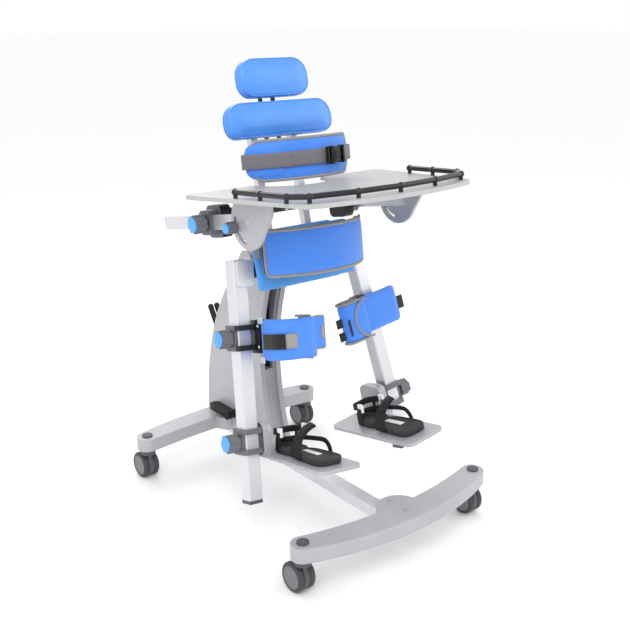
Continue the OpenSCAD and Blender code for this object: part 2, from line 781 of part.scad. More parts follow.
module tray_rail() color(black) tray_frame() {
    z = tray_rise + rail_lift;
    r_front = arc_r(rail_front_half, tray_bow);
    middle = [0, rail_front - tray_bow + r_front, z];
    half_angle = asin(rail_front_half / r_front);
    front_shares = [-0.88, -0.44, 0, 0.44, 0.88];
    fronts = [for (t = front_shares) middle + r_front * [sin(t * half_angle), -cos(t * half_angle), 0]];
    bend = rail_front_half - fronts[4][0];
    sides = [for (t = [0, 0.5, 1]) [rail_half, rail_rear, z] + t * [rail_front_half - rail_half,
        rail_front - rail_rear + bend, 0]];
    left = [for (p = sides) [-p[0], p[1], p[2]]];
    for (run = [[sides[0], sides[2]], [sides[2], fronts[4]], [left[0], left[2]], [left[2],
        fronts[0]]]) rail_run(run[0], run[1]);
    for (k = [1 : 4]) rail_run(fronts[k - 1], fronts[k]);
    for (p = concat(fronts, sides, left)) translate(p) {
        sphere(rail_collar_r);
        translate([0, 0, -rail_lift]) cylinder(r = rail_post_r, h = rail_lift);
    }
}

module tray_knob(side) color(dark) on_side(side) arm_frame() rotate([knob_slot_angle, 0, 0])
    translate([bracket_in + bracket_t, slot_r, 0]) knob(bracket_t + 2 * slide_gap, small_knob_r,
        small_knob_len);
module tray_knob_left() tray_knob(-1);
module tray_knob_right() tray_knob(1);

// Head and chest pads, their carrier and the head pad's rods
module upright_pad(half, height, mid) reclined() translate([0, pad_rear, mid]) rotate([90, 0, 0])
    linear_extrude(pad_t) round_rect([-half, -height / 2], [half, height / 2], pad_corner);

module chest_pad() color(blue) upright_pad(chest_half, chest_h, chest_mid);
module head_pad() color(blue) upright_pad(head_half, head_h, head_mid);

// Plate behind the chest pad, with sleeves on the two posts and guides for the head rods
module chest_carrier() color(dark) reclined() difference() {
    outer = post_s / 2 + slide_gap + sleeve_wall;
    post_mid = post_rear - post_s / 2;
    low = chest_mid - carrier_h / 2;
    high = chest_mid + carrier_h / 2;
    union() {
        block([-carrier_w / 2, pad_rear + slide_gap, low], [carrier_w / 2,
            pad_rear + slide_gap + carrier_t, high]);
        for (x = [-post_x, post_x])
            block([x - outer, pad_rear + slide_gap + over, low], [x + outer, post_mid + outer, high]);
        for (x = [-rod_x, rod_x])
            block([x - rod_r - sleeve_wall, pad_rear + slide_gap + over, low], [x + rod_r + sleeve_wall,
                rod_b + rod_r + sleeve_wall, high]);
    }
    for (x = [-post_x, post_x])
        block([x - post_s / 2 - slide_gap, post_front - slide_gap, low - over],
            [x + post_s / 2 + slide_gap, post_rear + slide_gap, high + over]);
    for (x = [-rod_x, rod_x]) translate([x, rod_b, low - over]) cylinder(r = rod_r + pin_gap,
        h = carrier_h + 2 * over);
}

module head_rods() color(dark) reclined() {
    for (x = [-rod_x, rod_x]) translate([x, rod_b, rod_low]) cylinder(r = rod_r,
        h = head_mid - rod_low + rod_r);
    block([-rod_x - 2 * rod_r, pad_rear + slide_gap, head_mid - carrier_h / 4], [rod_x + 2 * rod_r,
        rod_b + rod_r, head_mid + carrier_h / 4]);
}

// Square leg tube with closed ends
module leg(side) color(alu) leg_frame(side) difference() {
    translate([0, 0, -leg_down]) linear_extrude(leg_down + leg_up)
        round_rect([-leg_half, -leg_half], [leg_half, leg_half], leg_corner_r);
    block([-leg_half + leg_wall, -leg_half + leg_wall, -leg_down + leg_cap_t],
        [leg_half - leg_wall, leg_half - leg_wall, leg_up - leg_wall]);
}
module leg_left() leg(-1);
module leg_right() leg(1);

// Bracket round the front and inside of the leg's top, with the pivot bore behind
module hip_bracket(side) color(alu) leg_frame(side) difference() {
    high = leg_up - leg_wall;
    front = -leg_half - plate_t;
    cheek = -leg_half - bracket_cheek;
    union() {
        translate([0, -leg_half, 0]) rotate([90, 0, 0]) linear_extrude(plate_t)
            round_rect([cheek, bracket_low], [bracket_front_out, high], leg_corner_r * 2);
        block([cheek, front + plate_t / 2, bracket_low + leg_corner_r * 2], [-leg_half, bracket_rear,
            high - leg_corner_r * 2]);
        translate([pivot_out, 0, pivot_up]) y_rod(boss_r, bracket_rear - plate_t, bracket_rear);
        block([pivot_out, bracket_rear - plate_t, pivot_up - boss_r], [-leg_half, bracket_rear,
            pivot_up + boss_r]);
    }
    translate([pivot_out, 0, pivot_up]) {
        y_rod(pivot_r + pin_gap, 0, 2 * bracket_rear);
        y_rod(pin_head_r + 2 * slide_gap, 0, bracket_rear - plate_t);
    }
}
module hip_bracket_left() hip_bracket(-1);
module hip_bracket_right() hip_bracket(1);

// Clamp of two collars round the leg, joined by an outer and an inner block
module leg_clamp(down) translate([0, 0, -down]) difference() {
    outer = leg_half + slide_gap + clamp_wall;
    union() {
        for (z = [-clamp_h / 2, clamp_h / 2 - collar_h]) translate([0, 0, z]) linear_extrude(collar_h)
            round_rect([-outer, -outer], [outer, outer], clamp_wall);
        for (s = [-1, 1]) on_side(s) side_plate(leg_half, outer)
            round_rect([-leg_half * 0.8, -clamp_h / 2], [leg_half * 0.8, clamp_h / 2], collar_h);
    }
    translate([0, 0, -clamp_h]) linear_extrude(2 * clamp_h)
        round_rect([-leg_half - slide_gap, -leg_half - slide_gap], [leg_half + slide_gap,
            leg_half + slide_gap], leg_corner_r);
    x_rod(thread_r + pin_gap, leg_half, outer + over);
}

module leg_knob(side, down) color(dark) leg_frame(side)
    translate([leg_half + slide_gap + clamp_wall, 0, -down]) knob(clamp_wall - slide_gap);

// Knee clamp with the dark plate that carries the cup
module knee_clamp(side) color(dark) leg_frame(side) {
    outer = leg_half + slide_gap + clamp_wall;
    leg_clamp(knee_down);
    block([-outer - knee_plate_w, -knee_plate_front, -knee_down - knee_plate_h / 2],
        [-outer, -knee_plate_rear, -knee_down + knee_plate_h / 2]);
}
module knee_clamp_left() knee_clamp(-1);
module knee_clamp_right() knee_clamp(1);
module knee_knob_left() leg_knob(-1, knee_down);
module knee_knob_right() leg_knob(1, knee_down);

// Knee pad closed round the knee, open to the rear
function cup_points(inset) = let (
    half = cup_half - inset, r = cup_corner - inset, front = cup_front + inset,
        rear = -knee_plate_front - slide_gap
) concat(
    [[cup_out + half, rear]], arc([cup_out + half - r, front + r], r, 0, -90, 8),
    arc([cup_out - half + r, front + r], r, -90, -180, 8), [[cup_out - half, rear]]);

module knee_pad_left() color(blue) leg_frame(-1) translate([0, 0, -knee_down - cup_drop - cup_h / 2])
    linear_extrude(cup_h) {
        inner = cup_points(cup_wall);
        polygon(concat(cup_points(0), [for (k = [len(inner) - 1 : -1 : 0]) inner[k]]));
    }

// Knee pad laid open: one wing out across the leg, the other folded forwards
module knee_pad_right() color(blue) leg_frame(1) translate([0, 0, -knee_down - cup_drop - wing_h / 2])
    linear_extrude(wing_h) {
        rear = -knee_plate_front - slide_gap;
        r = wing_fold / 2;
        mid = [wing_in + r, rear - r];
        translate([mid[0], rear - cup_wall]) square([wing_out - mid[0], cup_wall]);
        polygon(concat(arc(mid, r, 90, 270, 16), arc(mid, r - cup_wall, 270, 90, 16)));
        translate([mid[0], mid[1] - r]) square([wing_flap, cup_wall]);
    }

// Foot clamp with the rounded side plate that carries the footplate
module foot_ear() {
    round_rect([-foot_ear_r, -foot_ear_r], [foot_ear_r, foot_ear_r], foot_ear_corner);
    translate([-foot_ear_r, -foot_ear_drop]) square([2 * foot_ear_r, foot_ear_drop]);
}

module foot_clamp(side) color(dark) leg_frame(side) {
    outer = leg_half + slide_gap + clamp_wall;
    leg_clamp(foot_down);
    translate([0, 0, -foot_down]) difference() {
        side_plate(-outer - foot_ear_t, -outer) translate([foot_ear_b, 0])
            round_rect([-foot_ear_r, -foot_ear_r], [foot_ear_r, foot_ear_r], foot_ear_corner);
        translate([0, foot_ear_b, 0]) x_rod(foot_pin_r + pin_gap, -outer - foot_ear_t - over, -outer + over);
    }
}
module foot_clamp_left() foot_clamp(-1);
module foot_clamp_right() foot_clamp(1);
module foot_knob_left() leg_knob(-1, foot_down);
module foot_knob_right() leg_knob(1, foot_down);

// The frame of a footplate, on its pivot and pitched
module sole_frame(side) leg_frame(side) translate([0, foot_ear_b, -foot_down]) rotate([sole_plate_pitch,
    0, 0]) children();

module foot_plate(side) color(silver) sole_frame(side) {
    outer = leg_half + slide_gap + clamp_wall;
    ear = -outer - foot_ear_t - slide_gap;
    top = -foot_ear_drop;
    translate([0, 0, top - sole_plate_t]) linear_extrude(sole_plate_t)
        round_rect([sole_plate_inner, sole_plate_front], [sole_plate_outer, sole_plate_rear],
            sole_plate_corner);
    side_plate(ear - foot_ear_t, ear) foot_ear();
    x_rod(foot_pin_r, ear - over, -outer - slide_gap);
    translate([(sole_plate_inner + sole_plate_outer) / 2, sole_plate_front * 0.75,
        top - sole_plate_t - glide_t])
        cylinder(r = glide_r, h = glide_t);
}
module foot_plate_left() foot_plate(-1);
module foot_plate_right() foot_plate(1);

// Strap that arches over the sandal at one place along it
module sandal_strap(at, half, rise) translate([0, at + sandal_strap_w / 2, sandal_t / 2]) rotate([90, 0, 0])
    linear_extrude(sandal_strap_w) {
        low = rise - half + sandal_t / 2;
        polygon(concat(arc([0, low], half, 0, 180, 16), arc([0, low], half - sandal_wall, 180, 0, 16)));
        for (s = [-1, 1]) on_side(s) translate([half - sandal_wall, 0]) square([sandal_wall, low]);
    }

// Sandal: sole, heel cup and two straps
module sandal(side) color(black) sole_frame(side) translate([sandal_out, 0, -foot_ear_drop]) {
    linear_extrude(sandal_t) {
        translate([0, sandal_toe_b]) circle(sandal_toe_r);
        translate([0, sandal_heel_b]) circle(sandal_heel_r);
        polygon([
            [-sandal_toe_r, sandal_toe_b], [sandal_toe_r, sandal_toe_b],
            [sandal_heel_r, sandal_heel_b], [-sandal_heel_r, sandal_heel_b]
        ]);
    }
    translate([0, 0, sandal_t / 2]) linear_extrude(sandal_t / 2 + sandal_cup_h) difference() {
        translate([0, sandal_heel_b]) circle(sandal_heel_r);
        translate([0, sandal_heel_b]) circle(sandal_heel_r - sandal_wall);
        translate([-sandal_toe_r, sandal_cup_b - sandal_toe_r]) square([2 * sandal_toe_r, sandal_toe_r]);
    }
    sandal_strap(toe_strap_b, sandal_toe_r - sandal_wall / 2, toe_strap_rise + sandal_t / 2);
    sandal_strap(ankle_strap_b, sandal_heel_r, ankle_strap_rise);
}
module sandal_left() sandal(-1);
module sandal_right() sandal(1);

base_spine();
front_foot();
rear_foot();
column_shell_left();
column_shell_right();
column_channel();
tilt_pin();
foot_screws();
tilt_lever();
lift_pedal();
castor_front_left();
castor_front_right();
castor_rear_left();
castor_rear_right();
wheels_front_left();
wheels_front_right();
wheels_rear_left();
wheels_rear_right();
tilt_yoke();
hip_crossbar();
back_posts();
arm_crossbar();
seat_pad();
hip_band();
hip_straps();
trunk_band();
trunk_strap();
trunk_buckle();
arm_clamp_left();
arm_clamp_right();
arm_knob_left();
arm_knob_right();
tray_arms();
tray_board();
tray_brackets();
tray_rail();
tray_knob_left();
tray_knob_right();
chest_pad();
chest_carrier();
head_pad();
head_rods();
leg_left();
leg_right();
hip_bracket_left();
hip_bracket_right();
knee_clamp_left();
knee_clamp_right();
knee_pad_left();
knee_pad_right();
knee_knob_left();
knee_knob_right();
foot_clamp_left();
foot_clamp_right();
foot_knob_left();
foot_knob_right();
foot_plate_left();
foot_plate_right();
sandal_left();
sandal_right();
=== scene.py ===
import bpy
import bmesh
import math
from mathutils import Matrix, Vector, noise


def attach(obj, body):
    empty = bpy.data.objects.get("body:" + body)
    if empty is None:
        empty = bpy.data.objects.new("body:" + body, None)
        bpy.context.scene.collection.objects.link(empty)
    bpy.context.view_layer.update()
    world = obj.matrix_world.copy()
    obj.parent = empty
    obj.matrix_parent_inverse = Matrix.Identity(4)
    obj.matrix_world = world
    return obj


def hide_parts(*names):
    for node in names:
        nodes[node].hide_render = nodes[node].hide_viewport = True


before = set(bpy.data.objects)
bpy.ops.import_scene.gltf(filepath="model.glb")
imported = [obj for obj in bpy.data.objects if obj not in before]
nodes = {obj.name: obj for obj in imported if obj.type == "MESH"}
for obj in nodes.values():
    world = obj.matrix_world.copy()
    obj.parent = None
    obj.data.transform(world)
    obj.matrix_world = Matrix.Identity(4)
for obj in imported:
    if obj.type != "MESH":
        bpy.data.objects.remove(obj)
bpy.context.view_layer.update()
scene = bpy.context.scene
scene.view_settings.view_transform = "Standard"
print("frame loaded")

# the frames that the pieces are placed in, as in the part's source, in metres and degrees
bodyPlace = {"recline": 15.1, "hipY": 0.0117, "hipZ": 0.620, "hipHalf": 0.1993, "splay": 6.8}
solePlace = {"pivotB": 0.016, "pivotUp": -0.365, "pitch": 4.7, "top": -0.040}
armPlace = {"y": -0.100, "z": 0.834, "armPitch": 10.0, "trayPitch": 4.4}
bothSides = ((-1, "Left"), (1, "Right"))


def reclined(x, b, h):
    # x across, b to the rear and h up along the body frame
    r = math.radians(bodyPlace["recline"])
    y = bodyPlace["hipY"] + b * math.cos(r) + h * math.sin(r)
    return Vector((x, y, bodyPlace["hipZ"] - b * math.sin(r) + h * math.cos(r)))


def onLeg(side, out, b, up):
    s = math.radians(bodyPlace["splay"])
    x = bodyPlace["hipHalf"] + out * math.cos(s) - up * math.sin(s)
    return reclined(side * x, b, out * math.sin(s) + up * math.cos(s))


def legWay(side, out, b, up):
    # a direction in the leg's frame
    return onLeg(side, out, b, up) - onLeg(side, 0, 0, 0)


def onSole(side, out, b, up):
    p = math.radians(solePlace["pitch"])
    along = solePlace["pivotB"] + b * math.cos(p) - up * math.sin(p)
    return onLeg(side, out, along, solePlace["pivotUp"] + b * math.sin(p) + up * math.cos(p))


def onArm(x, y, z, pitch="armPitch"):
    p = math.radians(armPlace[pitch])
    return Vector((x, armPlace["y"] + y * math.cos(p) + z * math.sin(p),
                   armPlace["z"] - y * math.sin(p) + z * math.cos(p)))


def onTray(x, y, z):
    return onArm(x, y, z, "trayPitch")


def fit(piece, body, node=None):
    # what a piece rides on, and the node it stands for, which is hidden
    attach(piece, body)
    if node:
        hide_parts(node)


# shader groups
groupSet = {"grainDetail": 3.0, "grainRough": 0.55, "patchScale": 14.0, "patchDetail": 2.0,
            "weaveWander": 0.4, "bevelSamples": 4}


def addSocket(tree, title, way, kind, value=None):
    socket = tree.interface.new_socket(title, in_out=way, socket_type="NodeSocket" + kind)
    if value is not None:
        socket.default_value = value
    return socket.identifier


def newGroup(name, ins, outs):
    # ins gives each input's kind and value, outs each output's kind
    group = bpy.data.node_groups.new(name, "ShaderNodeTree")
    for title, (kind, value) in ins.items():
        addSocket(group, title, "INPUT", kind, value)
    for title, kind in outs.items():
        addSocket(group, title, "OUTPUT", kind)
    return group, group.nodes.new("NodeGroupInput").outputs, group.nodes.new("NodeGroupOutput").inputs


def addNode(tree, kind, links=None, **values):
    node = tree.nodes.new(kind)
    for key, value in values.items():
        setattr(node, key, value)
    for key, source in (links or {}).items():
        if isinstance(source, bpy.types.NodeSocket):
            tree.links.new(source, node.inputs[key])
        else:
            node.inputs[key].default_value = source
    return node


def makeFineGrain():
    tree, given, made = newGroup("fineGrain", {"Vector": ("Vector", None), "Scale": ("Float", 400.0)},
                                 {"Height": "Float", "Patch": "Float"})
    small = addNode(tree, "ShaderNodeTexNoise",
                    {"Vector": given["Vector"], "Scale": given["Scale"], "Detail": groupSet["grainDetail"],
                     "Roughness": groupSet["grainRough"]})
    broad = addNode(tree, "ShaderNodeTexNoise",
                    {"Vector": given["Vector"], "Scale": groupSet["patchScale"],
                     "Detail": groupSet["patchDetail"]})
    tree.links.new(small.outputs[0], made["Height"])
    tree.links.new(broad.outputs[0], made["Patch"])
    return tree


def makeSoftEdges():
    tree, given, made = newGroup("softEdges", {"Radius": ("Float", 0.0015), "Gain": ("Float", 6.0)},
                                 {"Normal": "Vector", "Wear": "Float"})
    bevel = addNode(tree, "ShaderNodeBevel", {"Radius": given["Radius"]}, samples=groupSet["bevelSamples"])
    flat = addNode(tree, "ShaderNodeNewGeometry")
    dot = addNode(tree, "ShaderNodeVectorMath", {0: bevel.outputs[0], 1: flat.outputs["Normal"]},
                  operation="DOT_PRODUCT")
    turned = addNode(tree, "ShaderNodeMath", {0: 1.0, 1: dot.outputs["Value"]}, operation="SUBTRACT")
    wear = addNode(tree, "ShaderNodeMath", {0: turned.outputs[0], 1: given["Gain"]}, operation="MULTIPLY",
                   use_clamp=True)
    tree.links.new(bevel.outputs[0], made["Normal"])
    tree.links.new(wear.outputs[0], made["Wear"])
    return tree


def makeWeave():
    tree, given, made = newGroup("plainWeave", {"Vector": ("Vector", None), "Scale": ("Float", 120.0)},
                                 {"Height": "Float", "Shade": "Float"})
    threads = [addNode(tree, "ShaderNodeTexWave",
                       {"Vector": given["Vector"], "Scale": given["Scale"],
                        "Distortion": groupSet["weaveWander"]},
                       bands_direction=way).outputs["Fac"] for way in ("X", "Z")]
    over = addNode(tree, "ShaderNodeMath", {0: threads[0], 1: threads[1]}, operation="MULTIPLY")
    for title in ("Height", "Shade"):
        tree.links.new(over.outputs[0], made[title])
    return tree


fineGrain = makeFineGrain()
softEdges = makeSoftEdges()
plainWeave = makeWeave()

# finishes: colour is linear, bump and edge are in metres, spread is the share that the colour varies by
finishes = {
    "paintGrey": dict(color=(0.435, 0.435, 0.455), rough=0.42, metal=0.25, grain=900, bump=0.00006,
                      edge=0.0022),
    "brushedAlloy": dict(color=(0.70, 0.70, 0.73), rough=0.36, metal=0.70, grain=500, bump=0.00004,
                         edge=0.0016, stretch=(1, 1, 0.03)),
    "plainAlloy": dict(color=(0.62, 0.63, 0.65), rough=0.40, metal=0.55, grain=700, edge=0.0016),
    "trayLaminate": dict(color=(0.46, 0.465, 0.47), rough=0.38, metal=0.12, grain=800, spread=0.08,
                         edge=0.0012),
    "darkPaint": dict(color=(0.060, 0.063, 0.070), rough=0.45, metal=0.2, grain=900, bump=0.00006,
                      spread=0.15, edge=0.0014),
    "darkMoulding": dict(color=(0.075, 0.078, 0.088), rough=0.52, grain=1400, bump=0.00008, spread=0.15,
                         edge=0.0012),
    "blackMoulding": dict(color=(0.008, 0.008, 0.009), rough=0.34, grain=1400, spread=0.15, edge=0.0012,
                          shine=0.28),
    "railGloss": dict(color=(0.010, 0.0095, 0.0095), rough=0.20, grain=1400, bump=0.00003, spread=0.15,
                      edge=0.0012),
    "wheelRubber": dict(color=(0.045, 0.046, 0.050), rough=0.62, bump=0.00008, spread=0.2, edge=0.0012),
    "rimGrey": dict(color=(0.16, 0.165, 0.175), rough=0.5, edge=0.001),
    "blueCap": dict(color=(0.09, 0.36, 0.80), rough=0.4, bump=0.00004, spread=0.08, edge=0.001),
    "screwSteel": dict(color=(0.66, 0.66, 0.67), rough=0.3, metal=0.9, grain=900, bump=0.00003,
                       edge=0.0006),
    "clipWhite": dict(color=(0.80, 0.81, 0.82), rough=0.4, bump=0.00004, spread=0.06, edge=0.0008),
    "soleRubber": dict(color=(0.011, 0.011, 0.012), rough=0.6, grain=1100, bump=0.00012, spread=0.2,
                       edge=0.0012, shine=0.3),
    "footBed": dict(color=(0.040, 0.037, 0.040), rough=0.62, grain=1100, bump=0.00012, spread=0.2,
                    edge=0.0012, shine=0.3),
    "clampGrey": dict(color=(0.140, 0.143, 0.160), rough=0.46, metal=0.1, bump=0.00006, spread=0.12,
                      edge=0.0014),
    "padVinyl": dict(color=(0.064, 0.268, 0.80), rough=0.30, grain=1500, bump=0.00010,
                     tint=(1.0, 1.08, 0.99), coat=(0.35, 0.18)),
    "bandCloth": dict(color=(0.060, 0.275, 0.98), rough=0.60, grain=600, bump=0.00010, weave=260,
                      tint=(1.0, 1.16, 0.98), sheen=0.25),
    # the band cloth made lighter for the seat pad: painted light against the shade the pad sits in
    "seatClothPaintedLight": dict(color=(0.092, 0.41, 1.0), rough=0.60, grain=600, bump=0.00010, weave=260,
                      tint=(1.0, 1.14, 0.98), sheen=0.25),
    # near-black cloth for the hip band's boxing and lining: painted shade under the tray
    "liningPaintedShade": dict(color=(0.070, 0.068, 0.070), rough=0.8, grain=700, bump=0.00014, spread=0.16,
                       weave=420, sheen=0.2),
    "tapeTab": dict(color=(0.36, 0.34, 0.32), rough=0.75, grain=700, bump=0.00010, spread=0.12, weave=420,
                    sheen=0.2),
    "bindingTape": dict(color=(0.33, 0.31, 0.295), rough=0.75, grain=700, bump=0.00012, spread=0.14,
                        weave=420, sheen=0.2),
    "webbing": dict(color=(0.19, 0.185, 0.205), rough=0.75, grain=700, bump=0.00025, spread=0.16, weave=300,
                    sheen=0.2),
    # near-black hook tape on the closures, also laid in slits as painted shade
    "hookTapeAndSlitShade": dict(color=(0.020, 0.017, 0.016), rough=0.85, grain=900, bump=0.0003, spread=0.25,
                     weave=380, shine=0.3, sheen=0.3),
}
finishSet = {"weaveDark": 0.78, "bumpStrength": 0.6, "wearGain": 1.3, "wearLift": 0.004, "roughSwing": 0.12,
             "sheenRough": 0.5}


def shade(color, share, tint=(1, 1, 1), lift=0.0):
    return tuple(min(1.0, c * share * t + lift) for c, t in zip(color, tint)) + (1,)


def mixColors(tree, factor, first, second):
    # inputs 6 and 7 are the colours of a colour mix, and output 2 is its result
    mix = addNode(tree, "ShaderNodeMix", {"Factor": factor, 6: first, 7: second}, data_type="RGBA")
    return mix.outputs[2]


def makeFinish(name, color, rough, metal=0.0, grain=1200, bump=0.00005, spread=0.10, edge=None, weave=None,
               stretch=(1, 1, 1), shine=0.5, tint=(1, 1, 1), sheen=None, coat=None):
    mat = bpy.data.materials.new(name)
    mat.use_nodes = True
    tree = mat.node_tree
    shader = tree.nodes["Principled BSDF"]
    plain = {"Metallic": metal, "Specular IOR Level": shine}
    if sheen:
        plain.update({"Sheen Weight": sheen, "Sheen Roughness": finishSet["sheenRough"]})
    if coat:
        plain.update({"Coat Weight": coat[0], "Coat Roughness": coat[1]})
    for title, value in plain.items():
        shader.inputs[title].default_value = value
    place = addNode(tree, "ShaderNodeTexCoord").outputs["Object"]
    lean = (math.radians(bodyPlace["recline"]), 0, 0)
    turned = addNode(tree, "ShaderNodeMapping", {"Vector": place, "Rotation": lean,
                                                 "Scale": stretch}).outputs[0]
    grainNode = addNode(tree, "ShaderNodeGroup", {"Vector": turned, "Scale": grain}, node_tree=fineGrain)
    patch, height = grainNode.outputs["Patch"], grainNode.outputs["Height"]
    deep = shade(color, 1 - spread, [1 / t for t in tint])
    tone = mixColors(tree, patch, deep, shade(color, 1 + spread, tint))
    if weave:
        cloth = addNode(tree, "ShaderNodeGroup", {"Vector": turned, "Scale": weave}, node_tree=plainWeave)
        tone = mixColors(tree, cloth.outputs["Shade"], shade(color, finishSet["weaveDark"]), tone)
        height = cloth.outputs["Height"]
    bumpNode = addNode(tree, "ShaderNodeBump",
                       {"Height": height, "Strength": finishSet["bumpStrength"], "Distance": bump})
    if edge:
        edges = addNode(tree, "ShaderNodeGroup", {"Radius": edge}, node_tree=softEdges)
        tree.links.new(edges.outputs["Normal"], bumpNode.inputs["Normal"])
        worn = shade(color, finishSet["wearGain"], lift=finishSet["wearLift"])
        tone = mixColors(tree, edges.outputs["Wear"], tone, worn)
    swing = finishSet["roughSwing"]
    span = addNode(tree, "ShaderNodeMapRange",
                   {"Value": patch, "To Min": rough * (1 - swing), "To Max": min(1.0, rough * (1 + swing))})
    for title, source in (("Base Color", tone), ("Normal", bumpNode.outputs[0]),
                          ("Roughness", span.outputs[0])):
        tree.links.new(source, shader.inputs[title])
    return mat


finish = {name: makeFinish(name, **values) for name, values in finishes.items()}


def splitFinish(name, base, place, axis, reach, other):
    # one finish with another colour past a distance along an axis, such as an end plug or a second plate
    mat = finish[base].copy()
    mat.name = name
    tree = mat.node_tree
    shader = tree.nodes["Principled BSDF"]
    spot = addNode(tree, "ShaderNodeTexCoord").outputs["Object"]
    away = addNode(tree, "ShaderNodeVectorMath", {0: spot, 1: place}, operation="SUBTRACT")
    along = addNode(tree, "ShaderNodeVectorMath", {0: away.outputs[0], 1: axis}, operation="DOT_PRODUCT")
    past = addNode(tree, "ShaderNodeMath", {0: along.outputs["Value"], 1: reach},
                   operation="GREATER_THAN").outputs[0]
    old = shader.inputs["Base Color"].links[0].from_socket
    tree.links.new(mixColors(tree, past, old, shade(finishes[other]["color"], 1)),
                   shader.inputs["Base Color"])
    metal = addNode(tree, "ShaderNodeMapRange", {"Value": past, "To Min": finishes[base].get("metal", 0.0),
                                                 "To Max": finishes[other].get("metal", 0.0)})
    tree.links.new(metal.outputs[0], shader.inputs["Metallic"])
    return mat


def pairs(*stems):
    return [stem + tail for stem in stems for tail in ("_left", "_right")]


def setFinish(member, mat):
    nodes[member].data.materials.clear()
    nodes[member].data.materials.append(mat)


nodeFinish = {
    "paintGrey": ["front_foot", "rear_foot", "tray_brackets"] + pairs("column_shell", "foot_plate"),
    "brushedAlloy": ["base_spine", "back_posts", "tray_arms"] + pairs("hip_bracket"),
    "plainAlloy": ["tilt_pin"],
    "screwSteel": ["foot_screws"],
    "trayLaminate": ["tray_board"],
    "darkMoulding": pairs("castor_front", "castor_rear"),
    "clampGrey": pairs("arm_knob", "tray_knob", "knee_knob", "foot_knob"),
    "darkPaint": ["chest_carrier", "head_rods", "arm_crossbar", "hip_crossbar", "tilt_yoke"],
    "blackMoulding": ["column_channel", "tilt_lever", "lift_pedal", "trunk_buckle"],
    "railGloss": ["tray_rail"],
    "wheelRubber": pairs("wheels_front", "wheels_rear"),
    "padVinyl": ["chest_pad", "head_pad"],
    "bandCloth": ["seat_pad", "hip_band", "trunk_band"] + pairs("knee_pad"),
    "webbing": ["hip_straps", "trunk_strap"],
    "soleRubber": pairs("sandal"),
}
for kind, members in nodeFinish.items():
    for member in members:
        setFinish(member, finish[kind])

# the legs' end plugs, and the clamps' second plates
splitPlace = {"legPlug": 0.514, "clampEdge": 0.0294, "plateEdge": 0.0206, "jawEdge": 0.2135}
for side, word in bothSides:
    hip = onLeg(side, 0, 0, 0)
    middle = Vector((0, 0, 0))
    for stem, base, place, axis, edge, other in (
            ("leg_", "brushedAlloy", hip, legWay(side, 0, 0, -1), "legPlug", "darkMoulding"),
            ("foot_clamp_", "clampGrey", hip, legWay(side, -1, 0, 0), "clampEdge", "paintGrey"),
            ("knee_clamp_", "clampGrey", hip, legWay(side, 0, -1, 0), "plateEdge", "blackMoulding"),
            ("arm_clamp_", "blackMoulding", middle, Vector((side, 0, 0)), "jawEdge", "clampGrey")):
        setFinish(stem + word.lower(), splitFinish(edge + word, base, place, axis, splitPlace[edge], other))
print("finishes made")


# mesh helpers: every new object is linked at the origin
def linkPiece(name, data):
    piece = bpy.data.objects.new(name, data)
    scene.collection.objects.link(piece)
    return piece


def addPiece(name, verts, faces, material, smooth=True, merge=0.00005, second=None, secondFrom=0):
    mesh = bpy.data.meshes.new(name)
    mesh.from_pydata([tuple(v) for v in verts], [], faces)
    if second:
        for p in mesh.polygons:
            p.material_index = 1 if p.index >= secondFrom else 0
    bm = bmesh.new()
    bm.from_mesh(mesh)
    bmesh.ops.remove_doubles(bm, verts=bm.verts, dist=merge)
    bmesh.ops.dissolve_degenerate(bm, edges=bm.edges, dist=merge)
    bmesh.ops.recalc_face_normals(bm, faces=bm.faces)
    bm.to_mesh(mesh)
    bm.free()
    for p in mesh.polygons:
        p.use_smooth = smooth
    mesh.materials.append(material)
    if second:
        mesh.materials.append(second)
    return linkPiece(name, mesh)


def evaluated(obj):
    bpy.context.view_layer.update()
    return bpy.data.meshes.new_from_object(obj.evaluated_get(bpy.context.evaluated_depsgraph_get()))


def applyModifiers(piece):
    # turns the modifier stack into a plain mesh
    made = evaluated(piece)
    old = piece.data
    piece.modifiers.clear()
    piece.data = made
    bpy.data.meshes.remove(old)
    return piece


def rounded(piece):
    mod = piece.modifiers.new("round", "SUBSURF")
    mod.levels = mod.render_levels = 1
    return applyModifiers(piece)


def joinPieces(name, pieces):
    # one mesh from several at the origin, keeping each one's material
    bm = bmesh.new()
    mats = []
    for p in pieces:
        start = len(bm.faces)
        bm.from_mesh(p.data)
        bm.faces.ensure_lookup_table()
        slots = []
        for m in p.data.materials:
            if m not in mats:
                mats.append(m)
            slots.append(mats.index(m))
        for f in bm.faces[start:]:
            f.material_index = slots[f.material_index] if slots else 0
    mesh = bpy.data.meshes.new(name)
    bm.to_mesh(mesh)
    bm.free()
    for m in mats:
        mesh.materials.append(m)
    for p in pieces:
        bpy.data.objects.remove(p)
    return linkPiece(name, mesh)


def loft(rings, capped=False):
    count = len(rings[0])
    verts = [v for ring in rings for v in ring]
    faces = []
    for r in range(len(rings) - 1):
        for k in range(count):
            a, b = r * count + k, r * count + (k + 1) % count
            faces.append((a, b, b + count, a + count))
    if capped:
        faces.append(tuple(range(count)))
        faces.append(tuple(range((len(rings) - 1) * count, len(rings) * count)))
    return verts, faces


def lathe(profile, place, axis, segments=40):
    # profile is (radius, distance along axis), turned about axis from place
    axis = Vector(axis).normalized()
    side = axis.orthogonal().normalized()
    other = axis.cross(side)
    turns = [2 * math.pi * k / segments for k in range(segments)]
    rings = []
    for r, d in profile:
        rings.append([Vector(place) + axis * d + (side * math.cos(a) + other * math.sin(a)) * r
                      for a in turns])
    return loft(rings)


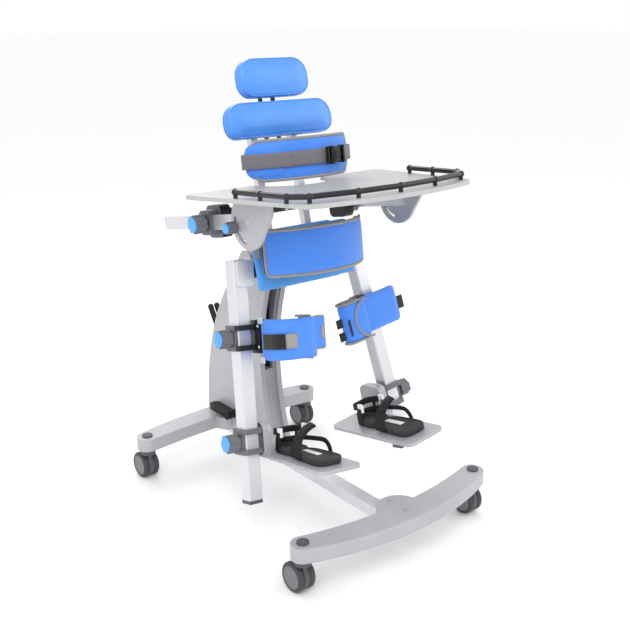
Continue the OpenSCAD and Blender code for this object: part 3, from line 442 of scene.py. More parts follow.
def roundOutline(left, right, low, high, radii, steps=8):
    # outline of a panel, counter-clockwise; radii of the low right, top right, top left and low left corners
    corners = ((right, low, -1, 1), (right, high, -1, -1), (left, high, 1, -1), (left, low, 1, 1))
    points = []
    for turn, (r, (x, y, dx, dy)) in enumerate(zip(radii, corners)):
        for k in range(steps + 1):
            a = math.radians(90 * (turn - 1) + 90 * k / steps)
            points.append((x + dx * r + r * math.cos(a), y + dy * r + r * math.sin(a)))
    return points


def evenPath(points, step, closed=True):
    # points spaced evenly along a polyline
    pts = [Vector(p) for p in points] + ([Vector(points[0])] if closed else [])
    lengths = [0.0]
    for a, b in zip(pts, pts[1:]):
        lengths.append(lengths[-1] + (b - a).length)
    count = max(3, round(lengths[-1] / step))
    made, k = [], 0
    for i in range(count if closed else count + 1):
        want = lengths[-1] * i / count
        while k < len(lengths) - 2 and lengths[k + 1] < want:
            k += 1
        span = lengths[k + 1] - lengths[k]
        made.append(pts[k].lerp(pts[k + 1], (want - lengths[k]) / span if span else 0))
    return made


def straight(first, last, steps):
    return [first.lerp(last, k / steps) for k in range(steps + 1)]


# half of a strap's section as shares of its width and thickness, with eased edges
strapHalf = [(-0.5, -0.3), (-0.49, -0.5), (-0.25, -0.5), (0, -0.5), (0.25, -0.5), (0.49, -0.5), (0.5, -0.3)]
strapSection = strapHalf + [(-w, -t) for w, t in strapHalf]


def strapPiece(name, path, across, width, thick, material):
    # flat strap along a path; across is the way of its width, and a pair of widths tapers it
    first, last = width if isinstance(width, tuple) else (width, width)
    rings = []
    for i, p in enumerate(path):
        run = (path[min(i + 1, len(path) - 1)] - path[max(i - 1, 0)]).normalized()
        up = run.cross(across.normalized()).normalized()
        wide = up.cross(run).normalized() * (first + (last - first) * i / (len(path) - 1))
        rings.append([p + wide * w + up * (t * thick) for w, t in strapSection])
    return addPiece(name, *loft(rings, capped=True), material)


def beveledBlock(name, place, low, high, material, bevel):
    (x0, y0, z0), (x1, y1, z1) = low, high
    corners = [place(x, y, z) for z in (z0, z1) for x, y in ((x0, y0), (x1, y0), (x1, y1), (x0, y1))]
    faces = [(3, 2, 1, 0), (4, 5, 6, 7), (0, 1, 5, 4), (1, 2, 6, 5), (2, 3, 7, 6), (3, 0, 4, 7)]
    piece = addPiece(name, corners, faces, material, smooth=False)
    mod = piece.modifiers.new("edge", "BEVEL")
    mod.width = bevel
    mod.segments = 2
    mod.limit_method = "ANGLE"
    return applyModifiers(piece)


# geometry node trees
stitchSize = {"length": 0.0033, "radius": 0.00045, "sides": 6}
screwShape = {"sides": 20, "top": 0.6}  # top is the head's share of its foot


def newTree(name, ins):
    tree = bpy.data.node_groups.new(name, "GeometryNodeTree")
    addSocket(tree, "Geometry", "INPUT", "Geometry")
    ids = {title: addSocket(tree, title, "INPUT", kind, value) for title, (kind, value) in ins.items()}
    ids["Material"] = addSocket(tree, "Material", "INPUT", "Material")
    addSocket(tree, "Geometry", "OUTPUT", "Geometry")
    return tree, tree.nodes.new("NodeGroupInput").outputs, ids


def closeTree(tree, given, geometry):
    # every tree ends in real geometry with its material
    real = addNode(tree, "GeometryNodeRealizeInstances", {"Geometry": geometry})
    paint = addNode(tree, "GeometryNodeSetMaterial", {"Geometry": real.outputs[0],
                                                      "Material": given["Material"]})
    tree.links.new(paint.outputs[0], tree.nodes.new("NodeGroupOutput").inputs[0])


def makeTubeTree():
    # round tube along a path, for piping and binding
    tree, given, ids = newTree("tubeAlongPath", {"Radius": ("Float", 0.004), "Sides": ("Int", 12)})
    ring = addNode(tree, "GeometryNodeCurvePrimitiveCircle",
                   {"Resolution": given["Sides"], "Radius": given["Radius"]})
    sweep = addNode(tree, "GeometryNodeCurveToMesh",
                    {"Curve": given["Geometry"], "Profile Curve": ring.outputs[0], "Fill Caps": True})
    smooth = addNode(tree, "GeometryNodeSetShadeSmooth", {"Geometry": sweep.outputs[0]})
    closeTree(tree, given, smooth.outputs[0])
    return tree, ids


def makeStitchTree():
    # short thread stitches spaced along a path
    tree, given, ids = newTree("stitchRow", {"Spacing": ("Float", 0.005), "Length": ("Float", 0.0033),
                                             "Radius": ("Float", 0.0005)})
    spaced = addNode(tree, "GeometryNodeResampleCurve",
                     {"Curve": given["Geometry"], "Length": given["Spacing"]}, mode="LENGTH")
    points = addNode(tree, "GeometryNodeCurveToPoints", {"Curve": spaced.outputs[0]}, mode="EVALUATED")
    thread = addNode(tree, "GeometryNodeMeshCylinder",
                     {"Vertices": stitchSize["sides"], "Radius": given["Radius"], "Depth": given["Length"]})
    laid = addNode(tree, "GeometryNodeInstanceOnPoints",
                   {"Points": points.outputs["Points"], "Instance": thread.outputs["Mesh"],
                    "Rotation": points.outputs["Rotation"]})
    closeTree(tree, given, laid.outputs[0])
    return tree, ids


def makeScrewTree():
    # screw heads on points, each turned to the point's own facing
    tree, given, ids = newTree("screwHeads", {"Radius": ("Float", 0.004), "Height": ("Float", 0.002)})
    head = addNode(tree, "GeometryNodeMeshCone",
                   {"Vertices": screwShape["sides"], "Radius Top": screwShape["top"], "Radius Bottom": 1.0,
                    "Depth": 1.0})
    scale = addNode(tree, "ShaderNodeCombineXYZ",
                    {"X": given["Radius"], "Y": given["Radius"], "Z": given["Height"]})
    sized = addNode(tree, "GeometryNodeTransform", {"Geometry": head.outputs["Mesh"],
                                                    "Scale": scale.outputs[0]})
    facing = addNode(tree, "GeometryNodeInputNamedAttribute", {"Name": "facing"}, data_type="FLOAT_VECTOR")
    turn = addNode(tree, "FunctionNodeAlignRotationToVector", {"Vector": facing.outputs[0]}, axis="Z")
    laid = addNode(tree, "GeometryNodeInstanceOnPoints",
                   {"Points": given["Geometry"], "Instance": sized.outputs[0], "Rotation": turn.outputs[0]})
    closeTree(tree, given, laid.outputs[0])
    return tree, ids


tubeTree = makeTubeTree()
stitchTree = makeStitchTree()
screwTree = makeScrewTree()


def runTree(source, made, values, name):
    # runs a node tree on an object and keeps only the resulting mesh, at the origin
    tree, ids = made
    mod = source.modifiers.new("nodes", "NODES")
    mod.node_group = tree
    for title, value in values.items():
        mod[ids[title]] = value
    mesh = evaluated(source)
    bpy.data.objects.remove(source)
    mesh.name = name
    if not mesh.materials:
        mesh.materials.append(values["Material"])
    return linkPiece(name, mesh)


def pathObject(points, closed):
    curve = bpy.data.curves.new("path", "CURVE")
    curve.dimensions = "3D"
    spline = curve.splines.new("POLY")
    spline.points.add(len(points) - 1)
    for p, v in zip(spline.points, points):
        p.co = (*v, 1)
    spline.use_cyclic_u = closed
    return linkPiece("path", curve)


def tubePiece(name, points, radius, material, closed=True, sides=12):
    values = {"Radius": radius, "Sides": sides, "Material": material}
    return runTree(pathObject(points, closed), tubeTree, values, name)


def stitchPiece(name, points, material, closed=True, spacing=0.005):
    values = {"Spacing": spacing, "Length": stitchSize["length"], "Radius": stitchSize["radius"],
              "Material": material}
    return runTree(pathObject(points, closed), stitchTree, values, name)


def screwPiece(name, spots, radius, height, material):
    mesh = bpy.data.meshes.new("spots")
    mesh.from_pydata([tuple(p) for p, n in spots], [], [])
    facing = mesh.attributes.new("facing", "FLOAT_VECTOR", "POINT")
    for k, (p, n) in enumerate(spots):
        facing.data[k].vector = n
    values = {"Radius": radius, "Height": height, "Material": material}
    return runTree(linkPiece("spots", mesh), screwTree, values, name)


# padded pieces
swellSet = {"pressure": 4.0, "cap": 0.0025, "frames": 16, "quality": 4, "mass": 0.2, "stiffness": 12,
            "bending": 0.4, "smoothing": 3, "smooth": 0.5}


def puff(piece, voxel):
    # swells a pad with a short cloth simulation; each point may move only as far as the cap
    mod = piece.modifiers.new("voxels", "REMESH")
    mod.mode = "VOXEL"
    mod.voxel_size = voxel
    applyModifiers(piece)
    start = [v.co.copy() for v in piece.data.vertices]
    mod = piece.modifiers.new("swell", "CLOTH")
    cloth = mod.settings
    cloth.quality = swellSet["quality"]
    cloth.mass = swellSet["mass"]
    cloth.tension_stiffness = cloth.compression_stiffness = swellSet["stiffness"]
    cloth.bending_stiffness = swellSet["bending"]
    cloth.use_pressure = True
    cloth.uniform_pressure_force = swellSet["pressure"]
    cloth.effector_weights.gravity = 0
    mod.point_cache.frame_start = 1
    mod.point_cache.frame_end = swellSet["frames"]
    for f in range(1, swellSet["frames"] + 1):
        scene.frame_set(f)
    swollen = piece.evaluated_get(bpy.context.evaluated_depsgraph_get()).to_mesh()
    ends = [v.co.copy() for v in swollen.vertices]
    piece.modifiers.clear()
    cap = swellSet["cap"]
    for v, a, b in zip(piece.data.vertices, start, ends):
        move = b - a
        if move.length > cap:
            move *= cap / move.length
        v.co = a + move
    scene.frame_set(1)
    bm = bmesh.new()
    bm.from_mesh(piece.data)
    for _ in range(swellSet["smoothing"]):
        bmesh.ops.smooth_vert(bm, verts=bm.verts, factor=swellSet["smooth"], use_axis_x=True,
                              use_axis_y=True, use_axis_z=True)
    bm.to_mesh(piece.data)
    bm.free()
    for p in piece.data.polygons:
        p.use_smooth = True
    return rounded(piece)


def outlineSize(outline):
    xs, hs = [p[0] for p in outline], [p[1] for p in outline]
    return (min(xs) + max(xs)) / 2, (min(hs) + max(hs)) / 2, (max(xs) - min(xs)) / 2, (max(hs) - min(hs)) / 2


def shrunk(outline, k):
    # the outline drawn towards a short spine line; k is 1 at the edge and 0 on the spine
    cx, mid, half, tall = outlineSize(outline)
    spine = max(0.0, half - tall)
    ring = []
    for p in outline:
        sx = cx + max(-spine, min(spine, p[0] - cx))
        ring.append((sx + (p[0] - sx) * k, mid + (p[1] - mid) * k))
    return ring


def insetBy(outline, inset):
    half, tall = outlineSize(outline)[2:]
    return shrunk(outline, max(0.0, 1 - inset / min(half, tall)))


# a pad's rings as (inset, depth): edges in shares of the edge's radius, the seam's groove in metres
padRings = {"rearEdge": ((1.5, 0.0), (0.4, 0.25)), "rearSide": 0.0006,
            "frontEdge": ((0.0, 1.0), (0.12, 0.5), (0.5, 0.12), (1.1, 0.0)),
            "crown": (0.8, 0.6, 0.4, 0.2, 0.0), "merge": 0.0002,
            "groove": ((0.0002, 0.0042), (0.0010, 0.0020), (0.0030, 0.0006), (0.0030, -0.0006),
                       (0.0010, -0.0020), (0.0002, -0.0042))}


def boxPad(name, place, outline, front, rear, crown, edge, seams, material):
    # upholstered pad: boxing round the sides, a crowned front panel and sewn seams
    reach = min(outlineSize(outline)[2:])
    steps = [(reach, rear), (reach / 2, rear)]
    steps += [(edge * i, rear - edge * d) for i, d in padRings["rearEdge"]]
    steps.append((padRings["rearSide"], rear - edge))
    for s in sorted(seams, reverse=True):
        steps += [(i, front + (rear - front) * s + d) for i, d in padRings["groove"]]
    steps += [(edge * i, front + edge * d) for i, d in padRings["frontEdge"]]
    start = 1 - edge * padRings["frontEdge"][-1][0] / reach
    steps += [(reach * (1 - k * start), front - crown * (1 - k ** 2)) for k in padRings["crown"]]
    rings = [[place(x, b, h) for x, h in insetBy(outline, inset)] for inset, b in steps]
    return rounded(addPiece(name, *loft(rings), material, merge=padRings["merge"]))


uprightPad = {"front": -0.049, "rear": -0.005, "crown": 0.006, "edge": 0.012, "seams": (0.40, 0.72),
              "trim": 0.001, "pipingR": 0.0017, "pipingInset": 0.26, "pipingDepth": 0.34}
headPadSize = dict(uprightPad, half=0.107, low=0.482, high=0.582, radii=(0.036, 0.045, 0.045, 0.036))
chestPadSize = dict(uprightPad, half=0.165, low=0.382, high=0.474, radii=(0.032, 0.045, 0.045, 0.032))


def makeUprightPad(name, size, body, node):
    half, trim, front = size["half"] - size["trim"], size["trim"], size["front"] + size["crown"]
    outline = roundOutline(-half, half, size["low"] + trim, size["high"] - trim, size["radii"])
    pad = boxPad(name, reclined, outline, front, size["rear"], size["crown"], size["edge"], size["seams"],
                 finish["padVinyl"])
    # piping in the same vinyl, sewn in along the front edge
    depth = front + size["edge"] * size["pipingDepth"]
    line = [reclined(x, depth, h) for x, h in insetBy(outline, size["edge"] * size["pipingInset"])]
    piping = tubePiece(name + "Piping", line, size["pipingR"], finish["padVinyl"])
    fit(pad, body, node)
    fit(piping, body)


makeUprightPad("headPad", headPadSize, "head", "head_pad")
makeUprightPad("chestPad", chestPadSize, "chest", "chest_pad")
print("head and chest pads made")

# bands round the trunk and the hips, on an arc in a frame that leans from the body frame
bandShape = {"half": 0.168, "bow": 0.095, "end": -0.072, "thick": 0.022, "lean": 7.55, "trunkLow": 0.280,
             "hipLow": 0.045}
bandR = (bandShape["half"] ** 2 + bandShape["bow"] ** 2) / (2 * bandShape["bow"])
bandMid = bandShape["end"] - bandShape["bow"] + bandR
bandReach = math.asin(bandShape["half"] / bandR)
coreR = bandR - bandShape["thick"] / 2


def bandPoint(low, x, b, z):
    t = math.radians(bandShape["lean"])
    return reclined(x, b * math.cos(t) - z * math.sin(t), low + b * math.sin(t) + z * math.cos(t))


def onBand(low, s, z, out):
    # s runs round the arc at mid thickness, out is from mid thickness
    a = s / coreR
    return bandPoint(low, (coreR + out) * math.sin(a), bandMid - (coreR + out) * math.cos(a), z)


bandUp = bandPoint(0, 0, 0, 1) - bandPoint(0, 0, 0, 0)

# how a quilted panel is built up: rings from its middle out, gathers along its edge, and slack in the cloth
quiltSet = {"step": 0.006, "cover": (0.0, 0.14, 0.28, 0.42, 0.56, 0.68, 0.78, 0.86, 0.92, 0.96, 0.985, 1.0),
            "boxing": (0.25, 0.55, 0.85), "boxingOut": -0.0008,
            "lining": (0.98, 0.94, 0.8, 0.6, 0.4, 0.2, 0.0), "sink": 0.0015, "gather": 0.0009,
            "gatherFrom": 0.3, "gatherWaves": (1.05, 0.37, 1.1), "slack": 0.0012, "slackScale": 14,
            "slackSeed": 9, "bindingSink": 0.002, "seamIn": 0.0085, "seamSink": 0.0016, "seamCrown": 0.45,
            "merge": 0.0003}


def quiltBand(name, low, outline, inner, outer, cover, lining, crown):
    # filled panel bent to the arc: crowned cover outside, boxing and lining behind the sewn edge
    q = quiltSet
    first, second, shift = q["gatherWaves"]
    path = [(p.x, p.y) for p in evenPath([(s, z, 0) for s, z in outline], q["step"])]
    rings = []
    for k in q["cover"]:
        ring = []
        for i, (s, z) in enumerate(shrunk(path, k)):
            wave = math.sin(i * first) * math.sin(i * second + shift)
            gather = wave * max(0.0, k - q["gatherFrom"]) * (1 - k ** 12)
            slack = noise.noise(Vector((s * q["slackScale"], z * q["slackScale"], low * q["slackSeed"])))
            lift = gather * q["gather"] + slack * q["slack"] * (1 - k ** 8)
            ring.append(onBand(low, s, z, outer - q["sink"] - crown * k ** 7 + lift))
        rings.append(ring)
    lineFrom = (len(rings) - 1) * len(path)
    rise = outer - crown - inner
    for share in q["boxing"]:
        side = insetBy(path, q["boxingOut"])
        rings.append([onBand(low, s, z, inner + rise * (1 - share)) for s, z in side])
    for k in q["lining"]:
        rings.append([onBand(low, s, z, inner + q["sink"] * k ** 4) for s, z in shrunk(path, k)])
    panel = rounded(addPiece(name, *loft(rings), cover, merge=q["merge"], second=lining,
                             secondFrom=lineFrom))
    edge = [onBand(low, s, z, outer - crown - q["bindingSink"]) for s, z in path]
    depth = outer - q["seamSink"] - crown * q["seamCrown"]
    seam = [onBand(low, s, z, depth) for s, z in insetBy(path, q["seamIn"])]
    return panel, edge, seam


# each panel: left, right, low and high edges, inner and outer face, corner radii
trunkBandSize = {
    "trunkBand": dict(edges=(-0.172, 0.128, 0.004, 0.100), faces=(-0.011, 0.0085),
                      radii=(0.030, 0.014, 0.022, 0.030)),
    "trunkBandSideFlap": dict(edges=(-0.189, -0.088, 0.010, 0.094), faces=(-0.006, 0.0112),
                              radii=(0.010, 0.010, 0.026, 0.026)),
    "trunkBandEndFlap": dict(edges=(0.100, 0.189, 0.012, 0.092), faces=(-0.010, 0.0060),
                             radii=(0.016, 0.016, 0.010, 0.010)),
}
hipBandSize = {
    "hipBand": dict(edges=(-0.178, 0.188, 0.004, 0.117), faces=(-0.011, 0.0105),
                    radii=(0.044, 0.028, 0.012, 0.014)),
    "hipBandEndFlap": dict(edges=(-0.189, -0.160, 0.010, 0.108), faces=(-0.010, 0.0040),
                           radii=(0.010, 0.010, 0.008, 0.008)),
}
bandTrim = {"trunkBinding": 0.0040, "hipBinding": 0.0044, "crown": 0.004, "flapCrown": 0.006,
            "slitS": -0.1815, "slitLow": 0.012, "slitHigh": 0.084, "slitOut": 0.004, "slitR": 0.0034}


def makeBand(sizes, low, node, lining, bindingR):
    cloth = finish["bandCloth"]
    for name, size in sizes.items():
        flap = "Flap" in name
        outline = roundOutline(*size["edges"], size["radii"])
        crown = bandTrim["flapCrown" if flap else "crown"]
        panel, edge, seam = quiltBand(name, low, outline, *size["faces"], cloth, cloth if flap else lining,
                                      crown)
        fit(panel, "body_frame", None if flap else node)
        if not flap:
            fit(tubePiece(name + "Binding", edge, bindingR, finish["bindingTape"]), "body_frame")
            fit(stitchPiece(name + "Stitches", seam, finish["bindingTape"]), "body_frame")


makeBand(trunkBandSize, bandShape["trunkLow"], "trunk_band", finish["bindingTape"],
         bandTrim["trunkBinding"])
# the hip band's boxing and lining take near-black cloth as painted shade under the tray
makeBand(hipBandSize, bandShape["hipLow"], "hip_band", finish["liningPaintedShade"], bandTrim["hipBinding"])
# a near-black tube down the band's left edge paints the shade at its slit
slitEnds = [onBand(bandShape["hipLow"], bandTrim["slitS"], bandTrim[z], bandTrim["slitOut"])
            for z in ("slitLow", "slitHigh")]
slit = tubePiece("hipBandSlitShade", straight(*slitEnds, 12), bandTrim["slitR"], finish["hookTapeAndSlitShade"],
                 closed=False)
fit(slit, "body_frame")
print("bands made")

# seat pad: a broad thin panel on a narrower core
seatPadSize = {"half": 0.162, "low": -0.001, "high": 0.153, "front": -0.0426, "rear": -0.0316,
               "crown": 0.001, "edge": 0.005, "radii": (0.008, 0.014, 0.014, 0.008), "voxel": 0.0045,
               "coreHalf": 0.115, "coreLow": 0.0, "coreHigh": 0.152, "coreFront": -0.0346,
               "coreRear": 0.0052, "coreEdge": 0.008, "coreSeams": (0.5,), "seamX": 0.146, "seamB": -0.0458,
               "seamLow": 0.002, "seamHigh": 0.149}


def makeSeatPad():
    size = seatPadSize
    # the seat pad's cloth is a lighter copy of the band cloth, painted light
    cloth = finish["seatClothPaintedLight"]
    outline = roundOutline(-size["half"], size["half"], size["low"], size["high"], size["radii"])
    pad = boxPad("seatPad", reclined, outline, size["front"], size["rear"], size["crown"], size["edge"], (),
                 cloth)
    puff(pad, size["voxel"])
    inner = roundOutline(-size["coreHalf"], size["coreHalf"], size["coreLow"], size["coreHigh"],
                         size["radii"])
    core = boxPad("seatPadCore", reclined, inner, size["coreFront"], size["coreRear"], 0.0,
                  size["coreEdge"], size["coreSeams"], cloth)
    lines = []
    for side, word in bothSides:
        ends = [reclined(side * size["seamX"], size["seamB"], size[h]) for h in ("seamLow", "seamHigh")]
        lines.append(stitchPiece("line", straight(*ends, 30), cloth, closed=False))
    fit(pad, "body_frame", "seat_pad")
    fit(core, "body_frame")
    fit(joinPieces("seatPadSeams", lines), "body_frame")


makeSeatPad()
print("seat pad made")

# trunk strap, hip straps and the buckle; angles are round the band's arc
strapSize = {"width": 0.036, "thick": 0.0024, "mid": 0.052, "lift": 0.00155, "step": 0.007,
             "tail": ((0.1712, -0.0710), (0.0753, 0.0250)),
             "foldLift": 0.0022, "foldWide": 0.985, "foldThick": 0.0018,
             "folds": ((0.02 - bandReach, -0.42), (0.06, 0.11)), "sewLift": 0.0032, "sewHalf": 0.0145,
             "sewFrom": 0.03 - bandReach, "sewTo": -0.43, "sewStep": 0.004, "hipWidth": 0.027,
             "hipMid": 0.0635, "hipTail": ((0.1655, -0.0717), (0.1582, -0.0417)), "hipStep": 0.005}


def arcPoint(low, z, lift, angle):
    r = bandR + lift
    return bandPoint(low, r * math.sin(angle), bandMid - r * math.cos(angle), z)


def arcLine(low, z, lift, first, last, steps=40):
    return [arcPoint(low, z, lift, first + (last - first) * k / steps) for k in range(steps + 1)]


def makeStraps():
    size, web = strapSize, finish["webbing"]
    low, mid, lift = bandShape["trunkLow"], size["mid"], size["lift"]
    tail = [bandPoint(low, x, b, mid) for x, b in size["tail"]]
    mirrored = [Vector((-p.x, p.y, p.z)) for p in reversed(tail)]
    full = evenPath(mirrored + arcLine(low, mid, lift, -bandReach, bandReach) + tail, size["step"],
                    closed=False)
    webs = [strapPiece("web", full, bandUp, size["width"], size["thick"], web)]
    # the free end doubled back and stitched on the left, and the folded end past the buckle
    for first, last in size["folds"]:
        run = arcLine(low, mid, lift + size["foldLift"], first, last)
        webs.append(strapPiece("web", run, bandUp, size["width"] * size["foldWide"], size["foldThick"],
                               web))
    strap = joinPieces("trunkStrap", webs)
    lift += size["sewLift"]
    lines = [arcLine(low, mid + z, lift, size["sewFrom"], size["sewTo"])
             for z in (-size["sewHalf"], size["sewHalf"])]
    lines.append([arcPoint(low, mid + size["sewHalf"] * k / 4, lift, size["sewTo"]) for k in range(-4, 5)])
    rows = [stitchPiece("row", line, finish["bindingTape"], closed=False, spacing=size["sewStep"])
            for line in lines]
    sewn = joinPieces("trunkStrapStitches", rows)
    tails = []
    for side, word in bothSides:
        ends = [bandPoint(bandShape["hipLow"], side * x, b, size["hipMid"]) for x, b in size["hipTail"]]
        run = evenPath(ends, size["hipStep"], closed=False)
        tails.append(strapPiece("tail", run, bandUp, size["hipWidth"], size["thick"], web))
    fit(strap, "body_frame", "trunk_strap")
    fit(sewn, "body_frame")
    fit(joinPieces("hipStraps", tails), "body_frame", "hip_straps")


makeStraps()

# the buckle's blocks as lowest and highest corner and edge radius: x along the strap, y out, z up
buckleSize = {"angle": 12, "stretch": 1.27, "lift": 0.0031, "blocks": [
    ((-0.009, 0.0005, -0.019), (0.012, 0.0115, 0.019), 0.0025),   # socket
    ((-0.006, 0.0105, -0.009), (0.009, 0.0130, 0.009), 0.0012),   # raised face of the socket
    ((-0.013, 0.001, -0.022), (-0.0095, 0.0125, 0.022), 0.0012),  # ribbed end
    ((-0.018, 0.001, -0.022), (-0.0150, 0.0125, 0.022), 0.0012),
    ((-0.0255, 0.001, -0.021), (-0.0215, 0.010, 0.021), 0.0012),
    ((-0.0245, 0.002, -0.021), (-0.010, 0.008, -0.017), 0.0012),
    ((-0.0245, 0.002, 0.017), (-0.010, 0.008, 0.021), 0.0012),
    ((0.012, 0.002, -0.0215), (0.020, 0.009, -0.0165), 0.0015),   # side prongs
    ((0.012, 0.002, 0.0165), (0.020, 0.009, 0.0215), 0.0015),
    ((0.012, 0.003, -0.003), (0.021, 0.008, 0.003), 0.0012),      # guide tongue
    ((0.0185, 0.001, -0.022), (0.0220, 0.0125, 0.022), 0.0012),   # bars at the plug's end
    ((0.0238, 0.001, -0.021), (0.0259, 0.0100, 0.021), 0.0008),
]}


def onBuckle(x, y, z):
    a = math.radians(buckleSize["angle"])
    r, x = bandR + buckleSize["lift"] + y, x * buckleSize["stretch"]
    return bandPoint(bandShape["trunkLow"], r * math.sin(a) + x * math.cos(a),
                     bandMid - r * math.cos(a) + x * math.sin(a), strapSize["mid"] + z)


def blockSet(name, place, blocks, material):
    made = [beveledBlock("block", place, low, high, material, bevel) for low, high, bevel in blocks]
    return joinPieces(name, made)


buckle = blockSet("trunkBuckle", onBuckle, buckleSize["blocks"], finish["blackMoulding"])
fit(buckle, "body_frame", "trunk_buckle")
print("straps and buckle made")

# knee pads: the near one wraps a box, the far one is laid open with its flap folded back
kneePadSize = {"up": -0.113, "tall": 0.112, "wall": 0.022, "boxMid": -0.092, "boxHalf": 0.053,
               "boxFront": -0.129, "boxOpen": -0.0425, "boxR": 0.029, "wingEnd": 0.072, "wingB": -0.0513,
               "foldOut": -0.127, "foldB": -0.0633, "foldR": 0.012, "flapEnd": -0.067, "step": 0.006,
               "tip": 0.0006, "around": 32, "slack": 0.0025, "endRound": 0.011, "endDrop": 0.018,
               "wallBlunt": 0.5, "topBlunt": 0.3, "voxel": 0.0042, "bindingR": 0.0034, "bindingSides": 10,
               "bindingDrop": 0.003}
# trims: across, to the rear and up in the leg's frame from the pad's middle; steps count along the wall
kneeBoxTrim = {"edgeSteps": 12, "edgeIn": -0.005, "strapUp": -0.004, "hookSteps": (3, 14),
               "hookLift": 0.0014, "hookWide": 0.038, "hookThick": 0.0034, "pullSteps": (14, 18),
               "pullLift": 0.0008, "pullWide": 0.036, "pullThick": 0.0022,
               "flap": (-0.171, -0.132, -0.030, 0.050), "flapRadii": (0.016, 0.016, 0.004, 0.004),
               "flapFront": -0.1285, "flapRear": -0.1165, "flapCrown": 0.001, "flapEdge": 0.004,
               "rimB": -0.1225, "tab": ((-0.161, -0.1302, 0.026), (-0.161, -0.1302, -0.006)),
               "tabWide": 0.010, "tabThick": 0.0016, "cornerLow": (-0.0300, -0.060, -0.0085),
               "cornerHigh": (-0.0262, -0.0412, 0.0075), "cornerUp": 0.049, "cornerBevel": 0.001}
kneeOpenTrim = {"foldSteps": 24, "foldShort": 2, "foldOut": 0.008, "frontLift": 0.0006, "archX": -0.066,
                "archR": 0.052, "archBinding": 0.0030, "tongue": (0.066, 0.090), "tongueUp": -0.004,
                "tongueWide": 0.036, "tongueThick": 0.004, "hook": (-0.146, -0.164),
                "hookUps": (0.006, -0.030), "hookWide": 0.024, "hookThick": 0.005, "slotX": -0.138,
                "slotIn": 0.0022, "slotUps": (0.012, -0.032), "slotWide": 0.006, "slotThick": 0.0022}


def blunt(value, power):
    return math.copysign(abs(value) ** power, value)


def arcPoints(cx, cy, r, first, last, steps=12):
    turns = [math.radians(first + (last - first) * k / steps) for k in range(steps + 1)]
    return [(cx + r * math.cos(a), cy + r * math.sin(a)) for a in turns]


def boxWrap():
    s = kneePadSize
    near, far, r = s["boxMid"] + s["boxHalf"], s["boxMid"] - s["boxHalf"], s["boxR"]
    line = [(near, s["boxOpen"])] + arcPoints(near - r, s["boxFront"] + r, r, 0, -90)
    return line + arcPoints(far + r, s["boxFront"] + r, r, -90, -180) + [(far, s["boxOpen"])]


def openWrap():
    s = kneePadSize
    fold = arcPoints(s["foldOut"], s["foldB"], s["foldR"], 90, 270)
    return [(s["wingEnd"], s["wingB"])] + fold + [(s["flapEnd"], s["foldB"] - s["foldR"])]


def wrapFrame(line):
    # even points along a plan line, with the way across the wall at each
    path = evenPath([(x, b, 0) for x, b in line], kneePadSize["step"], closed=False)
    across = []
    for i in range(len(path)):
        run = (path[min(len(path) - 1, i + 1)] - path[max(0, i - 1)]).normalized()
        across.append(Vector((-run.y, run.x, 0)))
    return path, across


